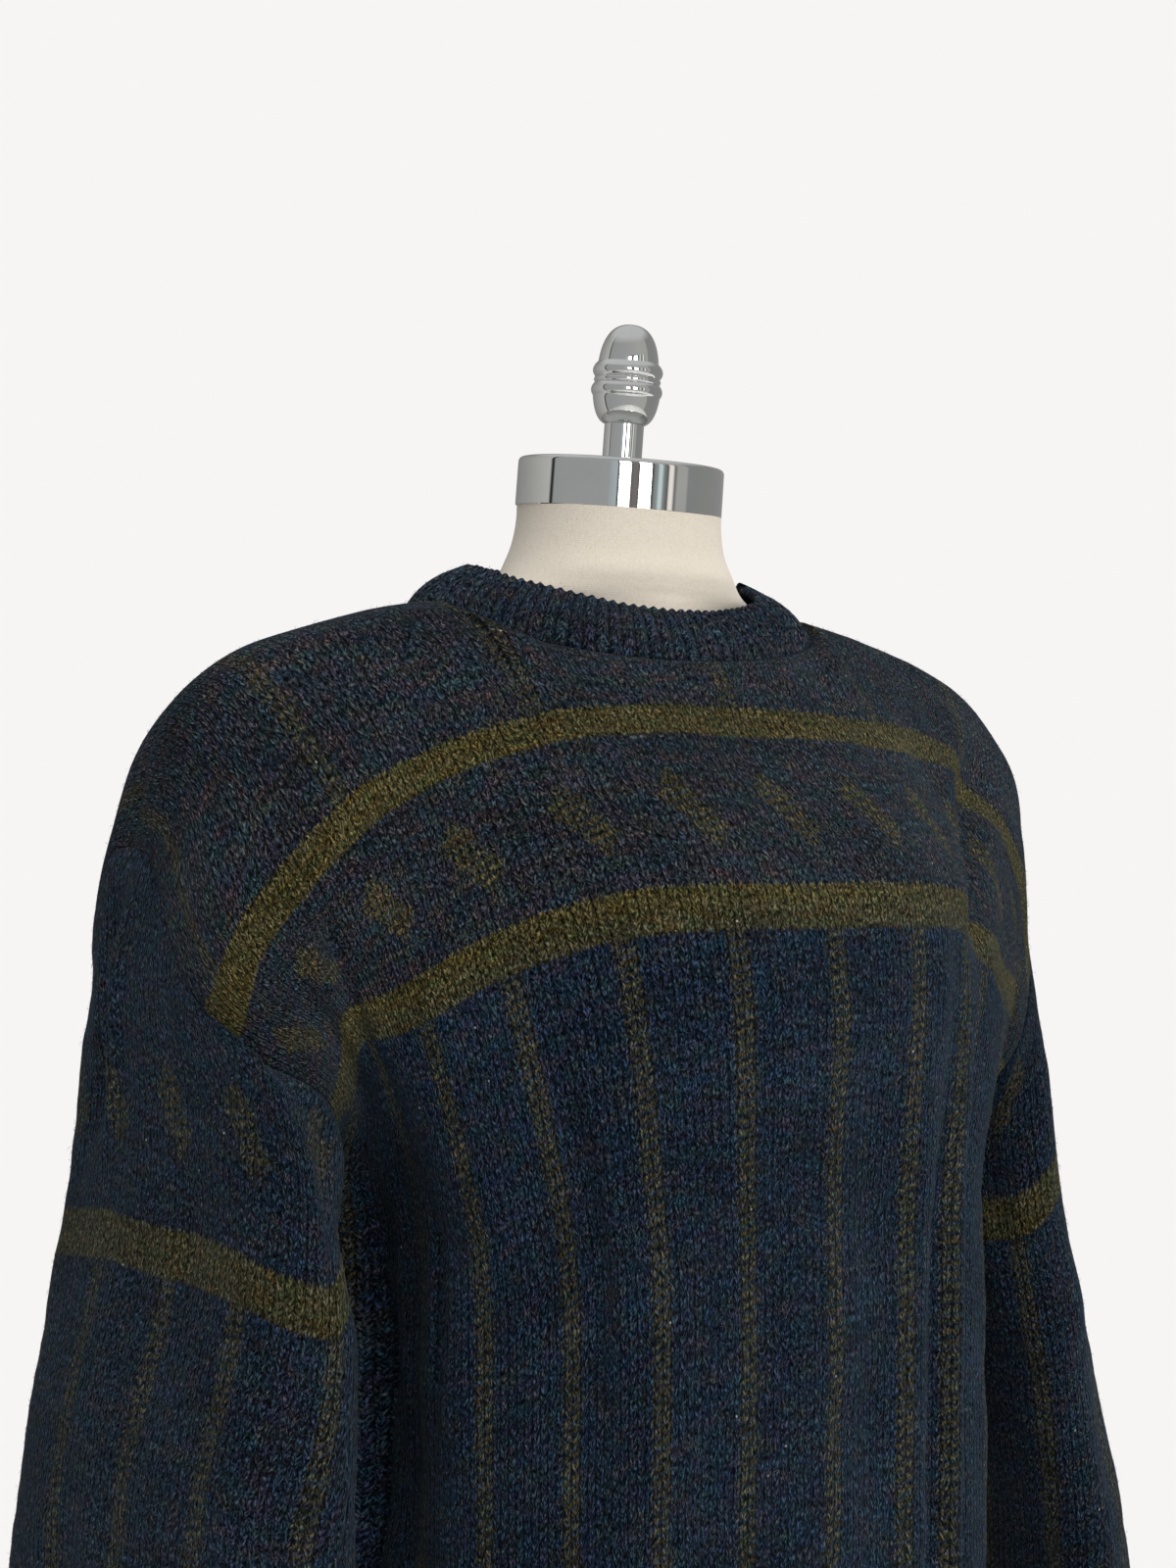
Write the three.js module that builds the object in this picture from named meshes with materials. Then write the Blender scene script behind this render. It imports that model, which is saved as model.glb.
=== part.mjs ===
// A crew-neck wool sweater hanging on a limbless dress form.
// The cloth is a knitted wall of one thickness. Its outer face is worked out panel by panel from
// the lie of a few rows and columns of stitches, and the form stands inside it on a round foot.
// Millimetres, +Z up. The front of the sweater faces -Y and +X is the wearer's left.
// The origin is the centre of the underside of the foot.
import * as THREE from "three";

// Driving sizes of the sweater. Heights in every table count from the chest line.
const chestLine = 1260;
const wall = 3;
const seamGap = 0.3;
const halfPanel = 308; // centre of a panel to its side seam, along the cloth
const neckHalf = 95; // centre of a panel to the neck point, along the cloth
const upperRow = 88; // shoulder line down to the upper band
const lowerRow = 178; // shoulder line down to the lower band
const panelLength = 610; // shoulder line down to the hem rib
const armpitLevel = -150;
const armholeDepth = 254; // shoulder line down to the armpit, along the seam
const hemRib = 68;
const cuffRib = 66;
const hemMiddle = -480; // level of the hem rib's seam at the middle of a panel
const hemDip = 16; // how much lower it hangs at the side seams

// Driving sizes of the form and its stand.
const neckTilt = THREE.MathUtils.degToRad(7.5); // the neck leans forward
const neckTop = 171; // level of the middle of the flat top of the neck
const capRadius = 48.5;
const capHeight = 22;
const formGap = 0.3; // between pieces of the form and its stand
const shoulderEase = 1.1; // between the form's shoulders and the cloth that lies on them
const torsoFoot = -570; // level of the underside of the form
const socketLength = 46;
const poleRadius = 14;
const footRadius = 190;
const footHeight = 14;

// ---- Smooth tables ----

// The value at a key of a cubic that passes through (keys, values) and is level past both ends.
function through(keys, values, key) {
  const last = keys.length - 1;
  if (key <= keys[0]) return values[0];
  if (key >= keys[last]) return values[last];
  let i = 0;
  while (key > keys[i + 1]) i++;
  const slope = (a, b) => (values[b] - values[a]) / (keys[b] - keys[a]);
  const bend = (k) => slope(Math.max(k - 1, 0), Math.min(k + 1, last));
  const span = keys[i + 1] - keys[i];
  const t = (key - keys[i]) / span;
  const start = bend(i) * span;
  const end = bend(i + 1) * span;
  return (
    values[i] +
    t * start +
    t * t * (3 * (values[i + 1] - values[i]) - 2 * start - end) +
    t * t * t * (2 * (values[i] - values[i + 1]) + start + end)
  );
}

// Turns rows with named columns into a function from the first column's value to the others.
function table(columns, rows) {
  const keys = rows.map((row) => row[0]);
  return (key) => {
    const found = {};
    columns.forEach((name, c) => {
      found[name] = c === 0 ? key : through(keys, rows.map((row) => row[c]), key);
    });
    return found;
  };
}

const bell = (distance, width) => Math.exp(-((distance / width) ** 2));
const ramp = (value, low, high) => THREE.MathUtils.smoothstep(value, low, high);

// ---- Where the cloth of the body lies ----

// The shoulder line, from the neck point out over the shoulder to the armhole seam.
const shoulderLine = table(
  ["along", "out", "level"],
  [
    [95, 98, 121],
    [130, 132, 115],
    [165, 165, 105],
    [200, 197, 90],
    [232, 223, 71],
    [262, 239, 48],
    [308, 248, 8],
  ],
);

// Two rows of stitches on each panel, from the centre to the side.
const rowColumns = ["along", "upOut", "upDepth", "upLevel", "lowOut", "lowDepth", "lowLevel"];
const frontRows = table(rowColumns, [
  [0, 0, 93, 64, 0, 165, -15],
  [47, 46, 92, 64, 47, 161, -15],
  [94, 92, 82, 60, 90, 144, -19],
  [141, 133, 67, 51, 127, 117, -34],
  [188, 166, 62, 34, 157, 100, -54],
  [235, 201, 67, 0, 180, 86, -66],
  [265, 218, 69, -24, 182, 80, -82],
  [308, 227, 66, -64, 186, 66, -102],
]);
const backRows = table(rowColumns, [
  [0, 0, 94, 50, 0, 113, -38],
  [47, 46, 94, 49, 46, 112, -39],
  [94, 92, 90, 45, 92, 107, -42],
  [141, 134, 80, 34, 133, 96, -50],
  [188, 172, 70, 15, 163, 84, -64],
  [235, 208, 62, -8, 182, 74, -82],
  [265, 224, 58, -24, 187, 66, -96],
  [308, 233, 46, -42, 185, 54, -112],
]);

// Level sections of the body below the armpits.
const bodySections = table(
  ["level", "halfWidth", "frontDepth", "backDepth", "shift"],
  [
    [-520, 170, 148, 126, -6],
    [-450, 175, 156, 131, -7],
    [-350, 176, 159, 128, -8],
    [-250, 175, 162, 122, -9],
    [-150, 174, 165, 118, -9],
    [-80, 174, 165, 116, -9],
  ],
);
const sectionPower = 2.05;

const foldRun = 100; // length over which a fold opens and closes

// Upright folds of the body: which panel, where across it, how wide, how far out, and their reach.
const foldColumns = ["face", "across", "width", "out", "top", "foot"];
const bodyFolds = [
  ["front", 104, 15, 7, -30, -470],
  ["front", 148, 22, -13, -60, -520],
  ["front", 205, 26, 4, -120, -520],
  ["front", 268, 22, -14, -110, -500],
  ["front", -92, 24, 5, -60, -400],
  ["front", -196, 13, 5, -110, -420],
  ["front", -226, 12, -9, -120, -480],
  ["front", -262, 20, -12, -110, -500],
  ["back", 250, 26, -16, -100, -500],
  ["back", 150, 26, 6, -90, -460],
  ["back", 70, 30, -7, -120, -500],
  ["back", -40, 34, 6, -140, -520],
  ["back", -140, 28, -7, -90, -470],
  ["back", -250, 26, -15, -100, -500],
].map((row) => Object.fromEntries(foldColumns.map((name, c) => [name, row[c]])));

// How far a panel stands out of its level section at a point: all its folds together, none at the side seam.
function foldDepth(face, across, level) {
  const held = 1 - ramp(Math.abs(across), halfPanel - 24, halfPanel);
  const drop = -level;
  return bodyFolds
    .filter((fold) => fold.face === face)
    .reduce((sum, fold) => {
      const opens = ramp(drop, -fold.top, -fold.top + foldRun);
      const closes = 1 - ramp(drop, -fold.foot - foldRun, -fold.foot);
      return sum + held * fold.out * bell(across - fold.across, fold.width) * opens * closes;
    }, 0);
}

// A point of a level section, at a share of the way along the cloth from its centre to its side.
function sectionPoint(halfWidth, depth, share) {
  const steps = 48;
  const at = (a) => [
    halfWidth * Math.sin(a) ** (2 / sectionPower),
    depth * Math.cos(a) ** (2 / sectionPower),
  ];
  const points = Array.from({ length: steps + 1 }, (_, k) => at((k / steps) * (Math.PI / 2 - 1e-9)));
  const lengths = [0];
  points.slice(1).forEach((p, k) => {
    lengths.push(lengths[k] + Math.hypot(p[0] - points[k][0], p[1] - points[k][1]));
  });
  const target = share * lengths[steps];
  let k = 0;
  while (k < steps - 1 && lengths[k + 1] < target) k++;
  const t = (target - lengths[k]) / (lengths[k + 1] - lengths[k]);
  return {
    out: points[k][0] + t * (points[k + 1][0] - points[k][0]),
    depth: points[k][1] + t * (points[k + 1][1] - points[k][1]),
  };
}

// A point of the body below the armpits. face is "front" or "back"; across is signed, + to the wearer's left.
function bodyPoint(face, across, level) {
  const section = bodySections(level);
  const depth = face === "front" ? section.frontDepth : section.backDepth;
  const share = Math.abs(across) / halfPanel;
  const base = sectionPoint(section.halfWidth, depth, share);
  const push = foldDepth(face, across, level);
  const slant = new THREE.Vector2(base.out / section.halfWidth ** 2, base.depth / depth ** 2).normalize();
  const sign = face === "front" ? -1 : 1;
  return new THREE.Vector3(
    section.shift + Math.sign(across) * (base.out + push * slant.x),
    sign * (base.depth + push * slant.y),
    level,
  );
}

// The top edge of a panel: the neckline inside the neck points, the shoulder line outside them.
const frontNeck = { depth: 75, level: 92.5, drop: 53, slant: 0.04 };
const backNeck = { depth: 68, level: 118, drop: 17, slant: 0 };
const neckPoint = shoulderLine(neckHalf);

function topOfPanel(face, across) {
  const neck = face === "front" ? frontNeck : backNeck;
  const sign = face === "front" ? -1 : 1;
  const size = Math.abs(across);
  if (size >= neckHalf - 1e-6) {
    const line = shoulderLine(size);
    return { point: new THREE.Vector3(Math.sign(across) * line.out, 0, line.level), row: 0 };
  }
  const inward = Math.sqrt(1 - (size / neckHalf) ** 2);
  const rise = 1 - inward;
  const x = (across / neckHalf) * neckPoint.out;
  return {
    point: new THREE.Vector3(
      x,
      sign * neck.depth * inward,
      neck.level + (neckPoint.level - neck.level) * rise + neck.slant * x * inward,
    ),
    row: neck.drop * inward,
  };
}

const leftTuck = 12; // how much flatter the left drop of the shoulder lies

// One column of stitches from the top edge down: known points keyed by rows down the cloth.
function column(face, across) {
  const rows = (face === "front" ? frontRows : backRows)(Math.abs(across));
  const sign = face === "front" ? -1 : 1;
  const side = Math.sign(across) || 1;
  const top = topOfPanel(face, across);
  const sway = (level) => bodySections(armpitLevel).shift * ramp(-level, -60, 110);
  const tuck = across > 0 && face === "front" ? leftTuck * ramp(across, 180, 290) : 0;
  const low = new THREE.Vector3(
    side * rows.lowOut + sway(rows.lowLevel),
    sign * rows.lowDepth,
    rows.lowLevel,
  );
  const up = new THREE.Vector3(
    side * (rows.upOut - tuck) + sway(rows.upLevel),
    sign * (rows.upDepth - tuck / 2),
    rows.upLevel,
  );
  const armpit = bodyPoint(face, across, armpitLevel);
  const settle = ramp(Math.abs(across), 250, halfPanel);
  const armpitRow = THREE.MathUtils.lerp(lowerRow + low.distanceTo(armpit), armholeDepth, settle);
  // Just under the shoulder line the cloth still runs forward or back over the padding.
  const round = ramp(Math.abs(across), 60, neckHalf);
  const crown = top.point.clone().lerp(up, 0.2);
  crown.y += sign * 9 * round;
  crown.z += 6 * round;
  crown.x += side * 2 * ramp(Math.abs(across), 200, halfPanel);
  const known = [
    { row: top.row, point: top.point },
    { row: top.row + 0.26 * (upperRow - top.row), point: crown },
    { row: upperRow, point: up },
    { row: lowerRow, point: low },
    { row: armpitRow, point: armpit },
  ];
  return { top, armpitRow, known };
}

function columnPoint(face, across, parts, row) {
  const { known, armpitRow } = parts;
  const hemLevel = hemMiddle - hemDip * (across / halfPanel) ** 2;
  const levelAt = (r) => THREE.MathUtils.mapLinear(r, armpitRow, panelLength, armpitLevel, hemLevel);
  if (row >= armpitRow) return bodyPoint(face, across, levelAt(row));
  const below = [40, 80].map((r) => ({
    row: armpitRow + r,
    point: bodyPoint(face, across, levelAt(armpitRow + r)),
  }));
  const all = [...known, ...below];
  const keys = all.map((k) => k.row);
  const part = (axis) => through(keys, all.map((k) => k.point[axis]), row);
  return new THREE.Vector3(part("x"), part("y"), part("z"));
}

// ---- Grids of points: rows down the cloth, points across it ----

const neckSteps = 8;
const shoulderSteps = 12;
const rowsAbove = 10;
const rowsBelow = 6;
const evenRow = 5;

const halfAcross = [
  ...Array.from({ length: neckSteps }, (_, k) => neckHalf * Math.sin((k / neckSteps) * (Math.PI / 2))),
  ...Array.from(
    { length: shoulderSteps + 1 },
    (_, k) => neckHalf + ((halfPanel - neckHalf) * k) / shoulderSteps,
  ),
];
const acrossAll = [...halfAcross.slice(1).reverse().map((a) => -a), ...halfAcross];

// Columns crowd together at the neck point and spread out evenly below the yoke.
function acrossAt(c, r) {
  const even = (halfPanel * (2 * c - acrossAll.length + 1)) / (acrossAll.length - 1);
  return THREE.MathUtils.lerp(acrossAll[c], even, ramp(r, 0, evenRow));
}

function panelGrid(face) {
  const rows = Array.from({ length: rowsAbove + rowsBelow + 1 }, (_, r) => r);
  return rows.map((r) =>
    acrossAll.map((_, c) => {
      const across = acrossAt(c, r);
      const parts = column(face, across);
      const row =
        r <= rowsAbove
          ? THREE.MathUtils.lerp(parts.top.row, parts.armpitRow, r / rowsAbove)
          : THREE.MathUtils.lerp(parts.armpitRow, panelLength, (r - rowsAbove) / rowsBelow);
      return columnPoint(face, across, parts, row);
    }),
  );
}

// Sleeve sections, level by level from under the shoulder to the cuff seam. tilt lifts the outer
// side and drops the inner one; turn swings the front edge in towards the body, in degrees.
const sleeveColumns = ["level", "tilt", "out", "forward", "thick", "deep", "turn"];
const sleeveSections = {
  right: [
    [-112, 66, 218, 19, 32, 78, 7],
    [-176, 30, 219, 30, 32, 90, 16],
    [-250, 8, 227, 24, 34, 99, 16],
    [-330, 0, 231, 22, 37, 99, 17],
    [-400, 0, 233, 18, 38, 86, 17],
    [-446, 0, 234, 16, 37, 70, 16],
  ],
  left: [
    [-112, 66, 205, -4, 32, 78, 12],
    [-176, 30, 212, -4, 33, 94, 16],
    [-250, 8, 226, 0, 35, 103, 18],
    [-330, 0, 243, 2, 37, 100, 17],
    [-400, 0, 255, 4, 38, 86, 16],
    [-446, 0, 261, 4, 37, 70, 16],
  ],
};

// The right arm lies further forward, so its columns start that many degrees further back.
const sleeveTwist = { right: 16, left: 0 };

function sleevePoint(side, section, share) {
  const sign = side === "right" ? -1 : 1;
  const [level, tilt, out, forward, thick, deep, turn] = section;
  const angle = share * 2 * Math.PI - THREE.MathUtils.degToRad(sleeveTwist[side]);
  const x = thick * Math.cos(angle);
  const y = -deep * Math.sin(angle);
  const swing = THREE.MathUtils.degToRad(turn);
  return new THREE.Vector3(
    sign * (out + x * Math.cos(swing) + y * Math.sin(swing)),
    -forward + y * Math.cos(swing) - x * Math.sin(swing),
    level + tilt * Math.cos(angle),
  );
}

// The armhole of a side as a ring: over the shoulder, down the front, the armpit, up the back.
function armhole(side, front, back) {
  const c = side === "right" ? 0 : acrossAll.length - 1;
  const down = front.slice(0, rowsAbove + 1).map((row) => row[c]);
  const up = back.slice(1, rowsAbove).map((row) => row[c]).reverse();
  return [...down, ...up];
}

const sleeveRows = 10;

function sleeveGrid(side, seam) {
  const columns = seam.map((start, j) => {
    const points = [start, ...sleeveSections[side].map((s) => sleevePoint(side, s, j / seam.length))];
    const keys = [0];
    points.slice(1).forEach((p, k) => keys.push(keys[k] + p.distanceTo(points[k])));
    const length = keys[keys.length - 1];
    return Array.from({ length: sleeveRows + 1 }, (_, r) => {
      const at = (length * r) / sleeveRows;
      const part = (axis) => through(keys, points.map((p) => p[axis]), at);
      return new THREE.Vector3(part("x"), part("y"), part("z"));
    });
  });
  return columns[0].map((_, r) => columns.map((points) => points[r]));
}

// A cuff draws the foot of the sleeve in and runs straight down from it.
const cuffRows = 3;
const cuffDraw = 0.74;

function cuffGrid(seam) {
  const middle = seam.reduce((sum, p) => sum.add(p), new THREE.Vector3()).divideScalar(seam.length);
  return Array.from({ length: cuffRows + 1 }, (_, r) => {
    const t = r / cuffRows;
    const draw = 1 - (1 - cuffDraw) * Math.min(1, 3 * t) ** 0.7;
    return seam.map((p) => {
      const q = middle.clone().lerp(p, draw);
      q.z = p.z - cuffRib * t;
      return q;
    });
  });
}

// The hem rib draws the foot of the body in a little.
const hemRows = 3;
const hemDraw = 0.95;

function hemGrid(panel) {
  const seam = panel[panel.length - 1];
  const middle = new THREE.Vector3(bodySections(hemMiddle).shift, -10, 0);
  return Array.from({ length: hemRows + 1 }, (_, r) => {
    const t = r / hemRows;
    const draw = 1 - (1 - hemDraw) * Math.min(1, 2 * t) ** 0.7;
    return seam.map((p) => {
      const q = middle.clone().lerp(p, draw);
      q.z = p.z - hemRib * t;
      return q;
    });
  });
}

// The neckband rises from the neckline to a narrower oval round the neck of the form.
const bandRows = 3;
const bandTop = { halfWidth: 79, middle: 4, depth: 56, level: 131.5, slope: 13.5, lift: 7, bulge: 2.4 };

function neckSeam(front, back) {
  const inside = acrossAll.map((a, c) => c).filter((c) => Math.abs(acrossAll[c]) <= neckHalf + 1e-6);
  const ahead = inside.map((c) => front[0][c]);
  const behind = inside.slice(1, -1).reverse().map((c) => back[0][c]);
  return [...ahead, ...behind];
}

function neckbandGrid(seam) {
  return Array.from({ length: bandRows + 1 }, (_, r) => {
    const t = r / bandRows;
    return seam.map((p) => {
      const angle = Math.atan2(p.x / neckPoint.out, -(p.y + 3) / 72);
      const rim = new THREE.Vector3(
        bandTop.halfWidth * Math.sin(angle),
        bandTop.middle - bandTop.depth * Math.cos(angle),
        bandTop.level - bandTop.slope * Math.cos(angle) + bandTop.lift * Math.sin(angle) ** 2,
      );
      const swell = bandTop.bulge * Math.sin(Math.PI * t);
      const q = p.clone().lerp(rim, t);
      return q.add(new THREE.Vector3(Math.sin(angle), -Math.cos(angle), 0.6).multiplyScalar(swell));
    });
  }).reverse();
}

// ---- From grids to solid cloth ----

// Outward normals of a grid. closed joins the last point of a row to the first.
function gridNormals(grid, closed) {
  const rows = grid.length;
  const points = grid[0].length;
  return grid.map((row, r) =>
    row.map((_, c) => {
      const left = closed ? (c + points - 1) % points : Math.max(c - 1, 0);
      const right = closed ? (c + 1) % points : Math.min(c + 1, points - 1);
      const along = row[right].clone().sub(row[left]);
      const down = grid[Math.min(r + 1, rows - 1)][c].clone().sub(grid[Math.max(r - 1, 0)][c]);
      return down.cross(along).normalize();
    }),
  );
}

// Pieces share one normal wherever their grids meet, so that seam faces stay side by side. The
// tubes that meet there count alike, whether one piece or two of a tube reach the point.
function shareNormals(pieces) {
  const name = (p) => p.toArray().map((v) => Math.round(v * 100)).join(" ");
  const sums = new Map();
  pieces.forEach(({ tube, grid, normals }) =>
    grid.flat().forEach((p, k) => {
      const tubes = sums.get(name(p)) ?? new Map();
      const sum = tubes.get(tube) ?? new THREE.Vector3();
      sums.set(name(p), tubes.set(tube, sum.add(normals.flat()[k])));
    }),
  );
  const shared = (p) =>
    [...sums.get(name(p)).values()]
      .reduce((total, sum) => total.add(sum.clone().normalize()), new THREE.Vector3())
      .normalize();
  pieces.forEach((piece) => {
    piece.normals = piece.grid.map((row) => row.map(shared));
  });
}

// Draws the edges of a grid back from its seams, along the cloth.
function drawBack(grid, closed, distance) {
  const rows = grid.length;
  const points = grid[0].length;
  return grid.map((row, r) =>
    row.map((p, c) => {
      const q = p.clone();
      const step = (other) => q.add(other.clone().sub(p).setLength(distance));
      if (r === 0) step(grid[1][c]);
      if (r === rows - 1) step(grid[rows - 2][c]);
      if (!closed && c === 0) step(row[1]);
      if (!closed && c === points - 1) step(row[points - 2]);
      return q;
    }),
  );
}

const edgeUp = new THREE.Vector3(0.01, 0.1, 1);

// A closed solid between the grid and the same grid set in by the thickness of the cloth.
function clothGeometry({ grid, normals, closed }) {
  const outer = drawBack(grid, closed, seamGap * 0.6);
  const inner = outer.map((row, r) => row.map((p, c) => p.clone().addScaledVector(normals[r][c], -wall)));
  const rows = outer.length;
  const points = outer[0].length;
  const position = [...outer.flat(), ...inner.flat()].flatMap((p) => [p.x, p.y, p.z + chestLine]);
  const at = (layer, r, c) => layer * rows * points + r * points + (c % points);
  const index = [];
  const quad = (a, b, c, d) => index.push(a, b, c, a, c, d);
  // An edge face splits along the same diagonal on both sides of a seam: from its upper outer point.
  const edge = (fromRow, from, toRow, to) => {
    const rise = grid[fromRow][from % points].clone().sub(grid[toRow][to % points]);
    const corners = [at(0, fromRow, from), at(0, toRow, to), at(1, toRow, to), at(1, fromRow, from)];
    if (rise.dot(edgeUp) < 0) corners.push(corners.shift());
    quad(...corners);
  };
  const across = closed ? points : points - 1;
  const last = rows - 1;
  for (let c = 0; c < across; c++) {
    for (let r = 0; r < last; r++) {
      quad(at(0, r, c), at(0, r + 1, c), at(0, r + 1, c + 1), at(0, r, c + 1));
      quad(at(1, r, c), at(1, r, c + 1), at(1, r + 1, c + 1), at(1, r + 1, c));
    }
    edge(0, c, 0, c + 1);
    edge(last, c + 1, last, c);
  }
  for (let r = 0; r < last && !closed; r++) {
    edge(r + 1, 0, r, 0);
    edge(r, points - 1, r + 1, points - 1);
  }
  const geometry = new THREE.BufferGeometry();
  geometry.setAttribute("position", new THREE.Float32BufferAttribute(position, 3));
  geometry.setIndex(index);
  geometry.computeVertexNormals();
  return geometry;
}

const front = panelGrid("front");
const back = panelGrid("back");
const armholes = { right: armhole("right", front, back), left: armhole("left", front, back) };
const sleeves = {
  right: sleeveGrid("right", armholes.right),
  left: sleeveGrid("left", armholes.left),
};
const flip = (grid) => grid.map((row) => [...row].reverse());

// Every grid runs so that down crossed with along points out of the garment.
const clothPieces = [
  { name: "front_panel", tube: "body", grid: front, closed: false },
  { name: "back_panel", tube: "body", grid: flip(back), closed: false },
  { name: "sleeve_right", tube: "sleeve", grid: sleeves.right, closed: true },
  { name: "sleeve_left", tube: "sleeve", grid: flip(sleeves.left), closed: true },
  { name: "neckband", tube: "neck", grid: neckbandGrid(neckSeam(front, back)), closed: true },
  { name: "hem_rib_front", tube: "hem", grid: hemGrid(front), closed: false },
  { name: "hem_rib_back", tube: "hem", grid: flip(hemGrid(back)), closed: false },
  { name: "cuff_right", tube: "cuff", grid: cuffGrid(sleeves.right[sleeveRows]), closed: true },
  { name: "cuff_left", tube: "cuff", grid: flip(cuffGrid(sleeves.left[sleeveRows])), closed: true },
];
clothPieces.forEach((piece) => {
  piece.normals = gridNormals(piece.grid, piece.closed);
});
shareNormals(clothPieces);

// ---- The form inside the sweater ----

const formAround = 40;
const neckSpread = 74; // how wide the root of the neck spreads over the shoulders

// Level sections of the form. front and back are depths at the middle, and wing is the share of
// them that runs out to the sides. power is 2 for an ellipse and less for a sharper edge.
const torsoSections = table(
  ["level", "halfWidth", "front", "back", "wing", "power"],
  [
    [-570, 150, 104, 98, 1, 2],
    [-500, 153, 113, 104, 1, 2],
    [-380, 148, 110, 96, 1, 2],
    [-250, 124, 98, 84, 1, 2],
    [-150, 132, 108, 86, 1, 2],
    [-60, 148, 126, 92, 1, 2],
    [0, 160, 128, 90, 1, 2],
    [40, 178, 100, 84, 0.94, 2],
    [64, 190, 84, 74, 0.76, 1.8],
  ],
);
const torsoLevels = [-570, -535, -500, -440, -380, -315, -250, -200, -150, -105, -60, -30, 0, 20, 40, 64];

// Up the shoulders the sections follow the shoulder line, set in under the cloth that lies on it.
const yokeSections = table(
  ["along", "front", "back", "wing", "power"],
  [
    [103, 45, 50, 0.26, 1.6],
    [125, 47, 51, 0.28, 1.6],
    [145, 49, 54, 0.36, 1.6],
    [173, 55, 59, 0.5, 1.6],
    [205, 72, 68, 0.58, 1.6],
  ],
);
const yokeSteps = [205, 195, 185, 173, 160, 144, 125, 103];

// The neck, from where the shoulders run into it to its flat top. lean is a share of its full tilt.
const neckColumns = ["level", "halfWidth", "front", "back", "wing", "power", "lean"];
const neckSections = [
  [118, 95, 45, 51, 0.3, 1.5, 0],
  [121, 85, 45, 51, 0.4, 1.6, 0],
  [126, 74, 45, 51, 0.6, 1.8, 0.2],
  [132, 64, 46, 52, 0.8, 1.9, 0.5],
  [140, 56.5, 47, 52, 1, 2, 0.8],
  [150, 51.5, 46, 51, 1, 2, 1],
  [161, 49, 46.5, 50, 1, 2, 1],
  [neckTop, capRadius, capRadius - 1, capRadius + 1, 1, 2, 1],
].map((row) => Object.fromEntries(neckColumns.map((name, c) => [name, row[c]])));

// The section of the form under one point of the shoulder line.
function yokeSection(along) {
  const here = shoulderLine(along);
  const ahead = shoulderLine(along + 1);
  const slope = new THREE.Vector2(ahead.out - here.out, ahead.level - here.level).normalize();
  const set = wall + shoulderEase;
  return {
    ...yokeSections(along),
    halfWidth: here.out + set * slope.y,
    level: here.level - set * slope.x,
  };
}

function formRing({ level, halfWidth, front: ahead, back: behind, wing, power, lean = 0 }) {
  return Array.from({ length: formAround }, (_, k) => {
    const angle = (k / formAround) * 2 * Math.PI;
    const x = halfWidth * Math.sign(Math.sin(angle)) * Math.abs(Math.sin(angle)) ** (2 / power);
    const rounded = Math.abs(Math.cos(angle)) ** (2 / power);
    const bulge = rounded * bell(x, neckSpread);
    const depth = (Math.cos(angle) > 0 ? -ahead : behind) * THREE.MathUtils.lerp(bulge, rounded, wing);
    return new THREE.Vector3(x, depth, chestLine + level + depth * Math.tan(neckTilt) * lean);
  });
}

// A closed body through rings that run upwards, with a flat cap over each end.
function loft(rings) {
  const around = rings[0].length;
  const middle = (ring) => ring.reduce((sum, p) => sum.add(p), new THREE.Vector3()).divideScalar(around);
  const points = [...rings.flat(), middle(rings[0]), middle(rings[rings.length - 1])];
  const at = (r, k) => r * around + (k % around);
  const index = [];
  for (let k = 0; k < around; k++) {
    index.push(points.length - 2, at(0, k + 1), at(0, k));
    index.push(points.length - 1, at(rings.length - 1, k), at(rings.length - 1, k + 1));
    for (let r = 0; r < rings.length - 1; r++) {
      index.push(at(r, k), at(r, k + 1), at(r + 1, k + 1), at(r, k), at(r + 1, k + 1), at(r + 1, k));
    }
  }
  const geometry = new THREE.BufferGeometry().setFromPoints(points);
  geometry.setIndex(index);
  geometry.computeVertexNormals();
  return geometry;
}

const torso = loft(
  [
    ...torsoLevels.map(torsoSections),
    ...yokeSteps.map(yokeSection),
    ...neckSections,
  ].map(formRing),
);

// A body turned about the vertical from an outline of radius and height.
const turned = (outline, segments) => new THREE.LatheGeometry(outline, segments).rotateX(Math.PI / 2);

const capEdge = 1.2;
const capOutline = new THREE.Path()
  .moveTo(0, 0)
  .lineTo(capRadius, 0)
  .lineTo(capRadius, capHeight - capEdge)
  .quadraticCurveTo(capRadius, capHeight, capRadius - capEdge, capHeight)
  .lineTo(0, capHeight);

// Finial: a plain post, a bowl, two beads with a fine ring between them, and an acorn.
const finialOutline = new THREE.Path()
  .moveTo(0, 0)
  .lineTo(9.4, 0)
  .lineTo(9.4, 16.8)
  .quadraticCurveTo(14.8, 20, 15.2, 30)
  .quadraticCurveTo(18, 32.6, 15.3, 35.6)
  .lineTo(15.6, 36.8)
  .lineTo(15.3, 38)
  .quadraticCurveTo(18, 41, 15.4, 44.2)
  .bezierCurveTo(14.4, 51, 11.5, 63, 0, 63);

const socketOutline = [
  [poleRadius + formGap, 0],
  [22, 0],
  [22, socketLength - 5],
  [46, socketLength - 5],
  [46, socketLength],
  [poleRadius + formGap, socketLength],
  [poleRadius + formGap, 0],
].map(([radius, height]) => new THREE.Vector2(radius, height));

const footOutline = new THREE.Path()
  .moveTo(0, 0)
  .lineTo(footRadius - 1.5, 0)
  .lineTo(footRadius, 1.5)
  .lineTo(footRadius, 5)
  .quadraticCurveTo(footRadius, 9, footRadius - 10, 9.4)
  .lineTo(40, footHeight)
  .lineTo(0, footHeight);

const footTop = footHeight + formGap;
const torsoUnderside = chestLine + torsoFoot;
const poleLength = torsoUnderside - formGap - footTop;

// ---- The object as a scene ----

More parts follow.
